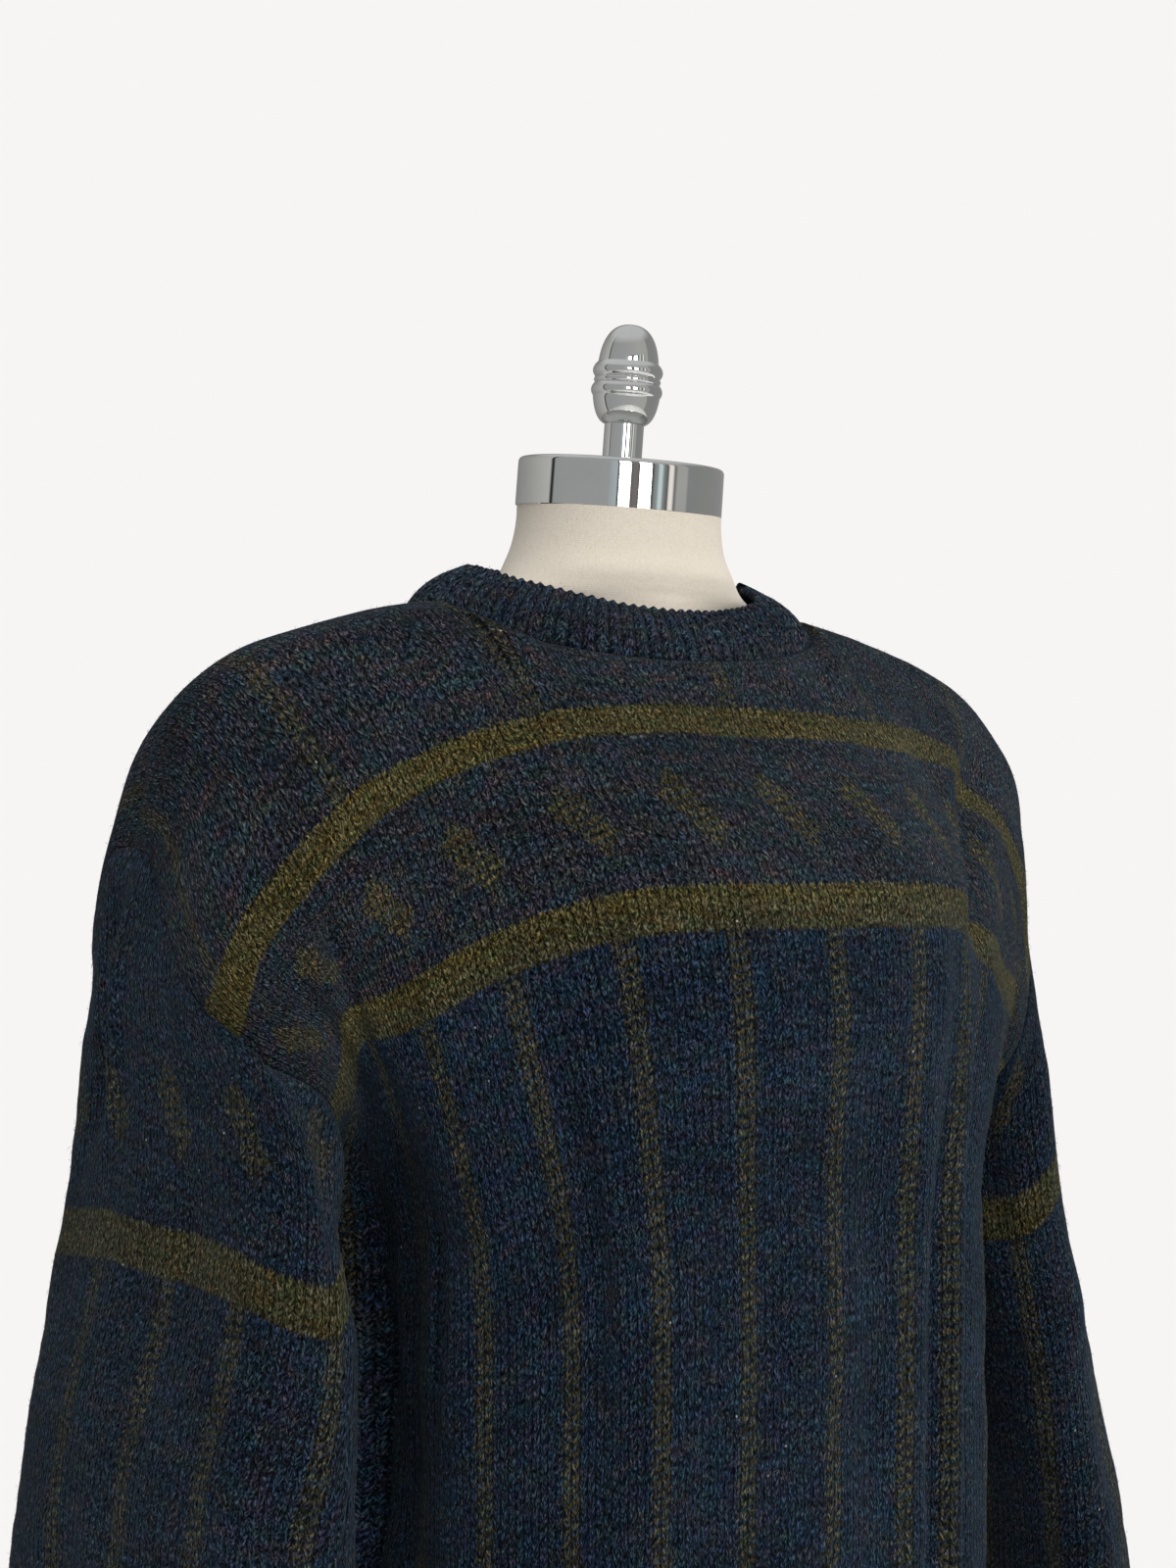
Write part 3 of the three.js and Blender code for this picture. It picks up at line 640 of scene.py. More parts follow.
class Finish:
    """The nodes of a material, or of the studio round the form, in the making."""

    def __init__(self, made):
        made.use_nodes = True
        self.made, self.tree = made, made.node_tree
        self.surface = self.tree.nodes.get("Principled BSDF")

    def add(self, kind, **settings):
        node = self.tree.nodes.new(kind)
        for name, value in settings.items():
            setattr(node, name, value)
        return node

    def feed(self, socket, value):
        if isinstance(value, Value):
            value = value.socket
        if isinstance(value, bpy.types.NodeSocket):
            self.tree.links.new(value, socket)
        elif value is not None:
            socket.default_value = value

    def math(self, operation, *values, clamp=False):
        node = self.add("ShaderNodeMath", operation=operation, use_clamp=clamp)
        for socket, value in zip(node.inputs, values):
            self.feed(socket, value)
        return Value(self, node.outputs[0])

    def vector(self, x, y, z=0.0):
        node = self.add("ShaderNodeCombineXYZ")
        for socket, value in zip(node.inputs, (x, y, z)):
            self.feed(socket, value)
        return node.outputs[0]

    def noise(self, vector, scale, detail=2.0, roughness=0.5):
        node = self.add("ShaderNodeTexNoise")
        self.feed(node.inputs["Vector"], vector)
        node.inputs["Scale"].default_value = scale
        node.inputs["Detail"].default_value = detail
        node.inputs["Roughness"].default_value = roughness
        return Value(self, node.outputs["Fac"])

    def shades(self, value, stops):
        """A colour picked from a run of (place, colour) stops."""
        node = self.add("ShaderNodeValToRGB")
        self.feed(node.inputs[0], value)
        band = node.color_ramp.elements
        while len(band) < len(stops):
            band.new(0.5)
        for element, (place, colour) in zip(band, stops):
            element.position, element.color = place, (*colour, 1)
        return node.outputs["Color"]

    def blend(self, share, a, b, kind="MIX"):
        node = self.add("ShaderNodeMix", data_type="RGBA", blend_type=kind)
        self.feed(node.inputs["Factor"], share)
        for socket, colour in ((node.inputs[6], a), (node.inputs[7], b)):
            self.feed(socket, (*colour, 1) if isinstance(colour, tuple) else colour)
        return node.outputs[2]

    def tinted(self, share, colour, tint):
        return self.blend(share, colour, tint, "MULTIPLY")

    def strewn(self, vector, apart):
        """How far it is to the nearest of many strewn points, and a colour that each of them has."""
        node = self.add("ShaderNodeTexVoronoi")
        self.feed(node.inputs["Vector"], vector)
        node.inputs["Scale"].default_value = 1 / apart
        return Value(self, node.outputs["Distance"]), node.outputs["Color"]

    def parts(self, socket, kind="XYZ"):
        """The three numbers that make up a place, a direction or a colour."""
        node = self.add(f"ShaderNodeSeparate{kind}")
        self.feed(node.inputs[0], socket)
        return [Value(self, output) for output in node.outputs]

    def spot(self, kind="Object"):
        """Where each point is, in metres."""
        return self.add("ShaderNodeTexCoord").outputs[kind]

    def fabric(self):
        """How far across and down the cloth, in millimetres."""
        across, down, _ = self.parts(self.add("ShaderNodeUVMap", uv_map="fabric").outputs[0])
        return across * (1 / metre), down * (1 / metre)

    def relief(self, height, depth):
        """Bump from a height between 0 and 1, over a depth in millimetres."""
        node = self.add("ShaderNodeBump")
        node.inputs["Distance"].default_value = depth * metre
        self.feed(node.inputs["Height"], height)
        self.feed(self.surface.inputs["Normal"], node.outputs[0])

    def settle(self, **values):
        """Sets the surface's own values."""
        for name, value in values.items():
            self.feed(self.surface.inputs[name.replace("_", " ")], value)
        return self.made


stripe_step = 47
stitch_width = stripe_step / 11  # eleven stitches from stripe to stripe
stitch_height = 4.4
rib_width = 5.9  # a rib and the furrow beside it
stripe_half = 5.0  # half widths: of a stripe, of the body's two bands and of a sleeve's band
upper_half = 7.6
lower_half = 9.6
sleeve_half = 9.8
sleeve_motifs = -57  # row of the sleeve's lozenges, down from its band

# Heather shades, from the darkest fibres to the lightest.
navy_shades = [
    (0.22, (0.0004, 0.0006, 0.0010)),
    (0.38, (0.0025, 0.0035, 0.0055)),
    (0.50, (0.0085, 0.0115, 0.0165)),
    (0.62, (0.024, 0.030, 0.039)),
    (0.80, (0.085, 0.100, 0.118)),
]
moss_shades = [
    (0.22, (0.0020, 0.0018, 0.0008)),
    (0.38, (0.011, 0.0095, 0.0036)),
    (0.50, (0.034, 0.030, 0.0120)),
    (0.62, (0.075, 0.066, 0.029)),
    (0.80, (0.21, 0.185, 0.095)),
]
# Casts that other dyes give to tufts of navy and of moss.
teal, violet, brown = (0.62, 1.15, 1.20), (1.15, 0.88, 1.20), (1.50, 1.12, 0.80)
rust, green = (1.12, 0.94, 0.72), (0.85, 1.03, 0.90)
# The navy casts are partly dye and partly painted light. The yoke's dye is greyer and the cloth below it
# bluer, and painted light makes the yoke lighter and the cloth below it darker.
yoke_dye_and_painted_light, deep = (1.30, 1.18, 1.06), (0.80, 0.96, 1.12)  # casts of navy on the yoke and below it
dull, bright = (1.26, 1.20, 1.04), (1.0, 1.03, 1.18)  # and of moss
pale_fibre, undyed = (0.140, 0.180, 0.230), (0.42, 0.43, 0.40)
bloom = (0.62, 0.84, 1.0, 1)


class Knit:
    """Brushed stocking stitch, or single rib, as a finish finds it at each point of the cloth."""

    def __init__(self, w, pattern):
        across, down = w.fabric()
        self.place = w.vector(across, down)
        # The yarn strays a little from its rows and wales.
        stray, curl = w.noise(self.place, 0.16, 1) - 0.5, w.noise(self.place, 0.55, 1) - 0.5
        across, down = across + stray * 1.5 + curl * 0.7, down + stray * 1.1
        self.across, self.down = across, down
        self.width = rib_width if pattern == "rib" else stitch_width
        # Each stitch is a V of two legs: 0 along its middle, 1 at the stitches beside it.
        inside = (across / self.width).fraction() - 0.5
        self.aside, leg_side = inside.size() * 2, inside.apply("SIGN")
        course = down / stitch_height + self.aside * 0.9
        swell = 1 - (course.fraction() * 2 - 1) ** 2.0
        rounded, flat = (0.45, 0.75) if pattern == "rib" else (0.60, 0.50)
        leg = (self.aside * math.pi).apply("SINE") ** 0.8 * rounded + (1 - self.aside**2.0) * flat
        self.stitch = leg * (0.55 + swell * 0.45)
        # Fibres lie along the legs in small locks, with brushed hairs over them.
        along = across + leg_side * 0.36 * down
        self.locks = w.noise(w.vector(along / 1.05, down / 2.7, leg_side), 1.0, 2, 0.6)
        self.fibre = w.noise(w.vector(along / 0.5, down / 2.2, leg_side), 1.0, 2, 0.6)
        self.hairs = w.noise(w.vector(across / 0.8, down / 1.3), 1.0, 3, 0.65)
        # Brushing blurs the edges of colours.
        fuzzy = (self.hairs - 0.5) * 3.4 + (self.locks - 0.5) * 2.4
        self.x, self.y = across + fuzzy, down + fuzzy - self.aside * 1.6


def charted(w, knit, pattern):
    """How much moss wool shows in a body or a sleeve: its bands, upright stripes and lozenges."""
    across, x, y = knit.across, knit.x, knit.y
    stripe = x.nearest(stripe_step).size().below(stripe_half, 0.9)
    if pattern == "body":
        # The upper band widens a little towards the armholes, and the yoke has every other stripe.
        wider = (across.size() - 140).apply("MAXIMUM") * 0.02
        upper = (y - upper_row).size().below(wider + upper_half, 0.8)
        bands = upper.apply("MAXIMUM", (y - lower_row).size().below(lower_half, 0.8))
        yoke_stripe = x.nearest(2 * stripe_step).size().below(stripe_half, 0.9)
        yoke_stripe = yoke_stripe * y.below(upper_row - 4.0, 1.5) * 0.65
        stripes = (stripe * (lower_row - y).below(-6.0, 1.5)).apply("MAXIMUM", yoke_stripe)
        motifs, strength = (upper_row + lower_row) / 2, 0.58
    else:
        bands = y.size().below(sleeve_half, 0.8)
        stripes = stripe * (0 - y).below(-8.0, 1.5)
        motifs, strength = sleeve_motifs, 0.46
    # A lozenge is two slanted lobes, in stitches across and rows down from its middle.
    sideways, upright = x.nearest(stripe_step) / stitch_width, (y - motifs) / stitch_height
    upper_lobe = ((sideways + 0.9).size() + (upright + 1.5).size() * 0.75).below(2.3, 0.45)
    lower_lobe = ((sideways - 0.9).size() + (upright - 1.9).size() * 0.75).below(2.0, 0.45)
    lozenge = upper_lobe.apply("MAXIMUM", lower_lobe)
    # In a stripe each row shows as one wavy stroke of moss that rises to the left side.
    wave = across * 0.06 + (across * 1.1).apply("SINE") * 0.10 + (knit.hairs - 0.5) * 0.5
    stroke = (((knit.down / stitch_height + wave) * 2 * math.pi).apply("SINE") * 0.5 + 0.5) ** 1.3
    # Wear has thinned the moss wool in places.
    worn = w.noise(knit.place, 0.035, 2)
    moss = bands * (0.80 + worn * 0.25)
    moss = moss.apply("MAXIMUM", stripes * (0.18 + stroke * strength))
    return moss.apply("MAXIMUM", lozenge * (0.22 + stroke * (0.3 + worn * 0.6)))


def heather(w, knit, pattern):
    """The colour of the wool: fibre by fibre, yarn by yarn along the rows, and dye by dye, with painted
    light on the yoke and painted shade below it.
    """
    across, down = knit.across, knit.down
    tone = 0.52 + (knit.locks - 0.5) * 1.05 + (knit.fibre - 0.5) * 0.9 + (knit.hairs - 0.5) * 0.85
    yarn = w.noise(w.vector(across / 26, down / 3.4), 1.0, 2)
    dye = w.noise(w.vector(across / 60, down / 38, 4.0), 1.0, 3)
    tone = tone + (yarn - 0.5) * 0.12 + (dye - 0.5) * 0.15
    navy = w.shades(tone, navy_shades)
    for seed, size, tint, lowest in ((1, 9, teal, 0.50), (2, 8, violet, 0.50), (3, 7, brown, 0.54)):
        patch = w.noise(w.vector(across / (size * 1.6), down / size, seed * 7.0), 1.0, 3, 0.7)
        navy = w.tinted((lowest - patch).below(0, 0.06) * 0.8, navy, tint)
    yoke = knit.y.below(lower_row, 4) if pattern == "body" else {"sleeve": 0.2, "rib": 0.6}[pattern]
    # Partly dye and partly painted light: the yoke is made lighter and the cloth below it darker.
    navy = w.tinted(1.0, navy, w.blend(yoke, deep, yoke_dye_and_painted_light))
    if pattern == "rib":
        return navy
    moss = w.tinted(1.0, w.shades(tone, moss_shades), w.blend(yoke, bright, dull))
    for seed, tint in ((5, rust), (6, green)):
        patch = w.noise(w.vector(across / 14, down / 4, seed * 7.0), 1.0, 2)
        moss = w.tinted((0.56 - patch).below(0, 0.05), moss, tint)
    return w.blend(charted(w, knit, pattern), navy, moss)


def shaded(w, knit):
    """How much light the gaps between legs leave. Between some wales they open into longer lines."""
    patchy = w.noise(w.vector(knit.across / 4, knit.down / 7, 2.0), 1.0, 2)
    gap = (1 - knit.stitch) ** 1.3 * (patchy * 2.4 - 0.3).apply("MINIMUM", 0.96)
    wale = (knit.across / knit.width).apply("ROUND")
    run = w.noise(w.vector(wale * 3.7, knit.down / 22, 6.0), 1.0, 2)
    opened = (run * 3.4 - 0.95).apply("MAXIMUM").apply("MINIMUM", 0.72)
    return 1 - gap.apply("MAXIMUM", knit.aside**2.4 * opened)


def wool(name, pattern, loose=False):
    """Brushed heather wool. The pattern is body, sleeve or rib, and loose is for its stray fibres."""
    w = Finish(bpy.data.materials.new(name))
    knit = Knit(w, pattern)
    colour = heather(w, knit, pattern)
    if loose:
        colour = w.blend(0.24, colour, pale_fibre)
        return w.settle(Base_Color=colour, Roughness=0.9, Specular_IOR_Level=0.1)
    light = shaded(w, knit)
    colour = w.tinted(1.0, colour, w.vector(light, light, light))
    # A few bits of undyed wool are caught in the yarn.
    away, kind = w.strewn(knit.place, 9)
    speck = away.below(0.05, 0.02) * (0.90 - w.parts(kind, "Color")[0]).below(0, 0.01)
    colour = w.blend(speck * 0.75, colour, undyed)
    w.relief(knit.stitch * 0.5 + knit.locks * 0.7 + knit.fibre * 0.2 + knit.hairs * 0.4, 1.2)
    w.settle(Sheen_Weight=0.05, Sheen_Roughness=0.30, Sheen_Tint=bloom)
    return w.settle(Base_Color=colour, Roughness=0.95, Specular_IOR_Level=0.04)


body_wool, sleeve_wool, rib_wool = (
    wool("wool_body", "body"),
    wool("wool_sleeve", "sleeve"),
    wool("wool_rib", "rib"),
)

sweater = {}
for face, panel in panels.items():
    piece = cloth_shell(f"{face}_cloth", panel["sewn"], panel["fabric"], False)
    piece.data.materials.append(body_wool)
    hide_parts(f"{face}_panel")
    sweater[face] = piece


# ---- Sleeves ----
# Two tubes of the same knit, sewn flat into the drop shoulders and 254 mm deep at the top. Each is
# seamed from the armpit to the wrist, has its own band and stripes, and hangs free of the body.

# Level, tilt, out, forward, thickness, depth and turn of sections from the shoulder to the cuff.
sleeve_sections = {
    "right": [
        (-112, 66, 218, 19, 32, 78, 7),
        (-176, 30, 219, 30, 32, 90, 16),
        (-250, 8, 227, 24, 34, 99, 16),
        (-330, 0, 231, 22, 37, 99, 17),
        (-400, 0, 233, 18, 38, 86, 17),
        (-446, 0, 234, 16, 37, 70, 16),
    ],
    "left": [
        (-112, 66, 205, -4, 32, 78, 12),
        (-176, 30, 212, -4, 33, 94, 16),
        (-250, 8, 226, 0, 35, 103, 18),
        (-330, 0, 243, 2, 37, 100, 17),
        (-400, 0, 255, 4, 38, 86, 16),
        (-446, 0, 261, 4, 37, 70, 16),
    ],
}
sleeve_twist = {"right": 16, "left": 0}
sleeve_rows = 132
# How far the stripes swing round a sleeve, at its lozenges and so far below them.
stripe_turn = {"right": (-8, 15), "left": (0, 0)}
stripe_turn_height = 137

# Level of the middle of a sleeve's band, by share of the way round from the top, front first.
band_level = {
    "right": table(
        [
            (0, -147),
            (0.12, -154),
            (0.25, -168),
            (0.33, -154),
            (0.42, -142),
            (0.5, -152),
            (0.75, -164),
            (0.88, -154),
            (1, -147),
        ]
    ),
    "left": table(
        [
            (0, -100),
            (0.1, -118),
            (0.2, -150),
            (0.3, -168),
            (0.5, -172),
            (0.75, -156),
            (0.9, -118),
            (1, -100),
        ]
    ),
}

# Creases of a sleeve: from and to, round from its outer side (front positive) and down from the band.
sleeve_creases = {
    "right": [
        (6, -160, -16, -10, 6, 4.5),
        (-12, -160, -36, -10, 8, -5.0),
        (150, -130, 120, 60, 8, -3.0),
        (96, -110, 104, 150, 14, 2.0),
        (60, -60, 40, 130, 11, -2.2),
        (10, -140, 16, 60, 12, 1.8),
        (120, 40, 80, 230, 10, 2.4),
        (60, 120, 90, 260, 9, -2.4),
        (10, 60, -10, 250, 13, -1.8),
        (-60, -120, -50, 120, 13, 2.2),
        (-110, -60, -90, 200, 11, -2.4),
        (-160, -120, -120, 40, 9, 2.2),
    ],
    "left": [
        (160, -120, 130, 80, 9, -2.6),
        (110, -100, 100, 130, 12, 2.0),
        (64, -90, 54, 110, 10, -2.2),
        (20, -130, 10, 90, 12, 1.6),
        (90, 60, 100, 250, 10, -2.2),
        (30, 80, 50, 260, 12, 2.0),
        (-40, -120, -40, 160, 13, -2.0),
        (-90, -40, -80, 220, 12, 2.4),
        (-150, -110, -110, 60, 9, -2.4),
    ],
}


def sleeve_point(side, section, share):
    level, tilt, out, forward, thick, deep, turn = section
    sign = -1 if side == "right" else 1
    angle = share * 2 * math.pi - math.radians(sleeve_twist[side])
    x, y = thick * math.cos(angle), -deep * math.sin(angle)
    swing = math.radians(turn)
    return (
        sign * (out + x * math.cos(swing) + y * math.sin(swing)),
        -forward + y * math.cos(swing) - x * math.sin(swing),
        level + tilt * math.cos(angle),
    )


def armhole(side):
    """The seam ring of an armhole: over the shoulder, down the front, the armpit, up the back.
    Its points come with the way each is drawn in."""
    c = 0 if side == "right" else -1
    ring = []
    for part in ("hung", "drawn"):
        front, back = panels["front"][part], panels["back"][part][:, ::-1]
        ring.append(np.concatenate([front[: rows_above + 1, c], back[rows_above - 1 : 0 : -1, c]]))
    if side == "right":
        ring[1][: rows_above + 1] *= front_seam[:, None]
    return ring


def sleeve_grid(side):
    seam, drawn = armhole(side)
    count = len(seam)
    columns, bands = [], []
    for j, start in enumerate(seam):
        share = j / count
        points = np.array([start] + [sleeve_point(side, s, share) for s in sleeve_sections[side]])
        keys = np.concatenate([[0], np.cumsum(np.linalg.norm(np.diff(points, axis=0), axis=1))])
        at = np.linspace(0, keys[-1], sleeve_rows + 1)
        column = through(keys, points, at)
        columns.append(column)
        bands.append(at - np.interp(-band_level[side](share)[0], -column[:, 2], at))
    grid = np.array(columns).transpose(1, 0, 2)
    down = np.array(bands).T
    # Round the sleeve from its top, front positive, as real lengths at every row.
    half = count // 2
    steps = np.linalg.norm(np.roll(grid, -1, axis=1) - grid, axis=2)
    front_way = np.cumsum(steps, axis=1)[:, :half]
    back_way = -np.cumsum(steps[:, ::-1], axis=1)[:, :half]
    order = list(range(half, count)) + list(range(half))
    rounds = np.concatenate([back_way[:, ::-1], np.zeros((len(grid), 1)), front_way], axis=1)
    down = down[:, order + [half]]
    lowered = np.clip((down - sleeve_motifs) / stripe_turn_height, 0, 1)
    twist = mix(*stripe_turn[side], lowered)
    fabric = np.stack([rounds + twist, down], axis=2)
    return grid[:, order], fabric, drawn[order]


sleeves = {}
for number, side in enumerate(("right", "left")):
    grid, fabric, drawn = sleeve_grid(side)
    if side == "left":
        grid, fabric = np.roll(grid[:, ::-1], 1, axis=1), fabric[:, ::-1]
        drawn = np.roll(drawn[::-1], 1, axis=0)
    normal = outward(grid, True)
    from_top = np.cumsum(np.linalg.norm(np.diff(grid, axis=0, prepend=grid[:1]), axis=2), axis=0)
    place = fabric[:, :-1]
    rough = 0.8 * unevenness(place, 60, 11 + number) + 0.25 * unevenness(place, 20, 15 + number)
    seam_away = np.minimum(np.arange(2 * rows_above), 2 * rows_above - np.arange(2 * rows_above))
    rough *= ramp(from_top, 2, 30) * (1 - bell(seam_away, 6))
    creased = crease(grid, fabric, normal, sleeve_creases[side])
    grid = mix(grid, creased, ramp(from_top, 0, 25)[..., None]) + normal * rough[..., None]
    tuck = bell(from_top, seam_reach)[..., None]
    grid = grid - seam_tuck * (drawn * tuck + normal * (bell(seam_away, 1.2)[:, None] * (1 - tuck)))
    grid = pulled(grid)
    sleeves[side] = (grid, fabric, outward(grid, True))
    piece = cloth_shell(f"sleeve_{side}_cloth", grid, fabric, True)
    piece.data.materials.append(sleeve_wool)
    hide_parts(f"sleeve_{side}")
    sweater[side] = piece


# ---- Neckband, hem ribs and cuffs ----
# Single ribbing, one stitch up and one down, cast off at its edge. It is linked to the neckline, to
# the foot of each panel and to the sleeve ends, and draws them in.

rib_cloth = 3.0
rib_relief = 0.6
points_per_rib = 8
neck_rib, hem_rib, cuff_rib = 32, 68, 66  # how far the ribs run from their seam
neck_ribs, hem_ribs, cuff_ribs = 89, 100, 44  # how many there are of them
hem_draw, cuff_draw = 0.035, 0.26  # how far they draw the cloth in
seam_depth, seam_forward = 72, 3  # the neckline's half depth, and how far forward its middle is
# Half width and half depth of the neckband's rim, how far back its middle is, its level, how far it
# tilts down to the front, and how far it lifts at the sides.
rim_out, rim_depth, rim_back, rim_level, rim_dip, rim_lift = 72, 56, 4, 131, 13.5, 7


def resample(line, count, closed):
    """A line of points spread evenly along its length."""
    line = np.concatenate([line, line[:1]]) if closed else line
    keys = np.concatenate([[0], np.cumsum(np.linalg.norm(np.diff(line, axis=0), axis=1))])
    at = np.linspace(0, keys[-1], count + 1)
    found = np.column_stack([np.interp(at, keys, line[:, k]) for k in range(3)])
    return found[:-1] if closed else found


def ribbed(name, seam, closed, path, length, ribs, rows):
    """A ribbed edge as one closed wall: down its outer face, round its cast-off edge and back up.
    path gives the outer face at a share of the way from the seam to the edge."""
    line = resample(seam, ribs * points_per_rib, closed)
    count = len(line)
    end = 1 - rib_cloth / 2 / length
    shares = end * np.linspace(0, 1, rows)
    outer = np.array([path(line, t) for t in shares])
    normal = outward(outer, closed)
    down = np.gradient(outer, axis=0)
    down /= np.linalg.norm(down, axis=2, keepdims=True)
    phase = np.arange(count) / points_per_rib
    wave = -np.cos(2 * math.pi * phase)
    wave = np.sign(wave) * abs(wave) ** 0.8
    rise = rib_relief * (0.45 + 0.55 * ramp(shares, 0, 0.25))[:, None] * wave[None, :]
    place = np.stack(np.meshgrid(phase * rib_width, shares * length), axis=2)
    loose = 0.5 * unevenness(place, 40, ribs)
    middle = outer + normal * (rise + loose * ramp(shares, 0, 0.3)[:, None] - rib_cloth / 2)[..., None]
    half = rib_cloth / 2
    turns = np.linspace(0, math.pi, 7)[1:-1]
    edge_out = (0.35 + 0.2 * wave)[:, None]
    edge = [
        middle[-1] + half * (math.cos(a) * normal[-1] + math.sin(a) * down[-1] * (0.6 + edge_out))
        for a in turns
    ]
    face = middle + half * normal
    back = (middle - half * normal)[::-1]
    grid = np.concatenate([face, edge, back])
    keys = np.concatenate([shares * length, length + np.zeros(len(turns)), shares[::-1] * length])
    rows_all = len(grid)
    across = np.append(phase, phase[-1] + 1 / points_per_rib) * rib_width
    faces, corners = [], []
    for r in range(rows_all):
        for c in range(count if closed else count - 1):
            ring = [(r, c), (r + 1, c), (r + 1, c + 1), (r, c + 1)]
            faces.append([(i % rows_all) * count + j % count for i, j in ring])
            corners.append(np.array([(across[j], keys[i % rows_all]) for i, j in ring]))
    if not closed:
        for c, order in ((0, range(rows_all - 1, -1, -1)), (count - 1, range(rows_all))):
            faces.append([r * count + c for r in order])
            corners.append(np.array([(across[c], keys[r]) for r in order]))
    piece = mesh_piece(name, grid.reshape(-1, 3), faces, corners)
    piece.data.materials.append(rib_wool)
    spread = np.broadcast_to(across[None, : count + 1], (len(face), len(across)))
    fabric = np.stack([spread, np.broadcast_to(shares[:, None] * length, spread.shape)], axis=2)
    return piece, (face, fabric, normal)


def toward(middle, line, draw, drop):
    """A ring drawn in towards its middle and let down."""
    moved = mix(middle, line, draw)
    moved[:, 2] = line[:, 2] - drop
    return moved


def neckband_path(line, t):
    angle = np.arctan2(line[:, 0] / neck_out, -(line[:, 1] + seam_forward) / seam_depth)
    sine, cosine = np.sin(angle), np.cos(angle)
    level = rim_level - rim_dip * cosine + rim_lift * sine**2
    rim = np.column_stack([rim_out * sine, rim_back - rim_depth * cosine, level])
    swell = (2.4 + 0.9 * abs(sine)) * math.sin(math.pi * t)
    return mix(line, rim, t) + swell[:, None] * np.column_stack([sine, -cosine, 0.6 + 0 * angle])


def cuff_path(line, t):
    return toward(line.mean(0), line, 1 - cuff_draw * min(1, 3 * t) ** 0.7, cuff_rib * t)


def hem_path(line, t):
    middle = np.array([body_sections(hem_middle)[3], -10, 0])
    return toward(middle, line, 1 - hem_draw * min(1, 2 * t) ** 0.7, hem_rib * t)


ribs = {}
front, back = panels["front"]["sewn"], panels["back"]["sewn"][:, ::-1]
inside = slice(shoulder_steps, shoulder_steps + 2 * neck_steps + 1)
neck_seam = np.concatenate([front[0, inside], back[0, inside][-2:0:-1]])[::-1]
sweater["neck"], ribs["neck"] = ribbed(
    "neckband_cloth", neck_seam, True, neckband_path, neck_rib, neck_ribs, 14
)
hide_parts("neckband")
for face in ("front", "back"):
    key = f"hem_{face}"
    sweater[key], ribs[key] = ribbed(
        f"hem_{face}_cloth", panels[face]["sewn"][-1], False, hem_path, hem_rib, hem_ribs, 11
    )
    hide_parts(f"hem_rib_{face}")
for side in ("right", "left"):
    key = f"cuff_{side}"
    sweater[key], ribs[key] = ribbed(
        f"cuff_{side}_cloth", sleeves[side][0][-1], True, cuff_path, cuff_rib, cuff_ribs, 12
    )
    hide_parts(key)


# ---- Loose fibres ----
# Brushing has drawn fine fibres out of the yarn. They lie every way over the knit, a few
# millimetres long, and soften every edge of the sweater.

fibre_length = (1.0, 6)
fibre_width = (0.10, 0.18)
fibre_root = 0.3  # how deep they stand in the knit


def fuzz(name, surfaces, count, seed):
    """One mesh of bent fibres rooted all over some cloth faces, each of two slim triangles."""
    rng = np.random.default_rng(seed)
    cells, sizes = [], []
    for grid, fabric, normal, closed in surfaces:
        if closed:
            grid, normal = (np.concatenate([a, a[:, :1]], axis=1) for a in (grid, normal))
        known = np.concatenate([grid, normal, fabric[:, : grid.shape[1]]], axis=2)
        upper, lower = known[:-1], known[1:]
        corners = np.stack([upper[:, :-1], lower[:, :-1], upper[:, 1:], lower[:, 1:]], axis=2)
        corners = corners.reshape(-1, 4, 8)
        sides = corners[:, 1, :3] - corners[:, 0, :3], corners[:, 2, :3] - corners[:, 0, :3]
        cells.append(corners)
        sizes.append(np.linalg.norm(np.cross(*sides), axis=1))
    cells, sizes = np.concatenate(cells), np.concatenate(sizes)
    chosen = cells[rng.choice(len(cells), count, p=sizes / sizes.sum())]
    u, v = rng.random((2, count, 1))
    spot = mix(mix(chosen[:, 0], chosen[:, 2], u), mix(chosen[:, 1], chosen[:, 3], u), v)
    root, normal, fabric = spot[:, :3], spot[:, 3:6], spot[:, 6:]
    normal /= np.linalg.norm(normal, axis=1, keepdims=True)
    down = chosen[:, 1, :3] - chosen[:, 0, :3]
    down -= normal * (down * normal).sum(1, keepdims=True)
    down /= np.linalg.norm(down, axis=1, keepdims=True)
    across = np.cross(down, normal)
    turn = rng.normal(0, 0.75, (count, 1)) + math.pi * (rng.random((count, 1)) < 0.35)
    lie = down * np.cos(turn) + across * np.sin(turn)
    lift = np.clip(rng.exponential(0.26, (count, 1)), 0.04, 1.0)
    length = np.clip(rng.lognormal(0.85, 0.4, (count, 1)), *fibre_length)
    bend = rng.normal(0, 0.6, (count, 1))
    first = lie * np.cos(lift) + normal * np.sin(lift)
    turned_lie = lie * np.cos(bend) + np.cross(normal, lie) * np.sin(bend)
    second = turned_lie * np.cos(lift * 0.2) + normal * np.sin(lift * 0.2)
    # A fibre is slim at its root and tip, and widest where it bends.
    width = rng.uniform(*fibre_width, (count, 1))
    facing = rng.uniform(0, math.pi, (count, 1))
    blade = np.cross(first, normal * np.cos(facing) + across * np.sin(facing))
    blade *= width / 2 / np.linalg.norm(blade, axis=1, keepdims=True)
    root = root - fibre_root * normal
    bent = root + first * length * 0.5
    points = np.stack([root, bent - blade, bent + blade, bent + second * length * 0.5], 1)
    base = 4 * np.arange(count)[:, None]
    faces = np.concatenate([base + (0, 1, 2), base + (1, 3, 2)], axis=1).reshape(-1, 3)
    corners = [np.repeat(fabric, 6, axis=0)]
    return mesh_piece(name, points.reshape(-1, 3), faces.tolist(), corners, smooth=False)


# Points, fabric and normals of the outside of each cloth, and whether it closes on itself.
outsides = {face: (p["sewn"], p["fabric"], p["normal"], False) for face, p in panels.items()}
outsides.update({side: (*sleeve, True) for side, sleeve in sleeves.items()})
outsides.update({key: (*rib, not key.startswith("hem")) for key, rib in ribs.items()})

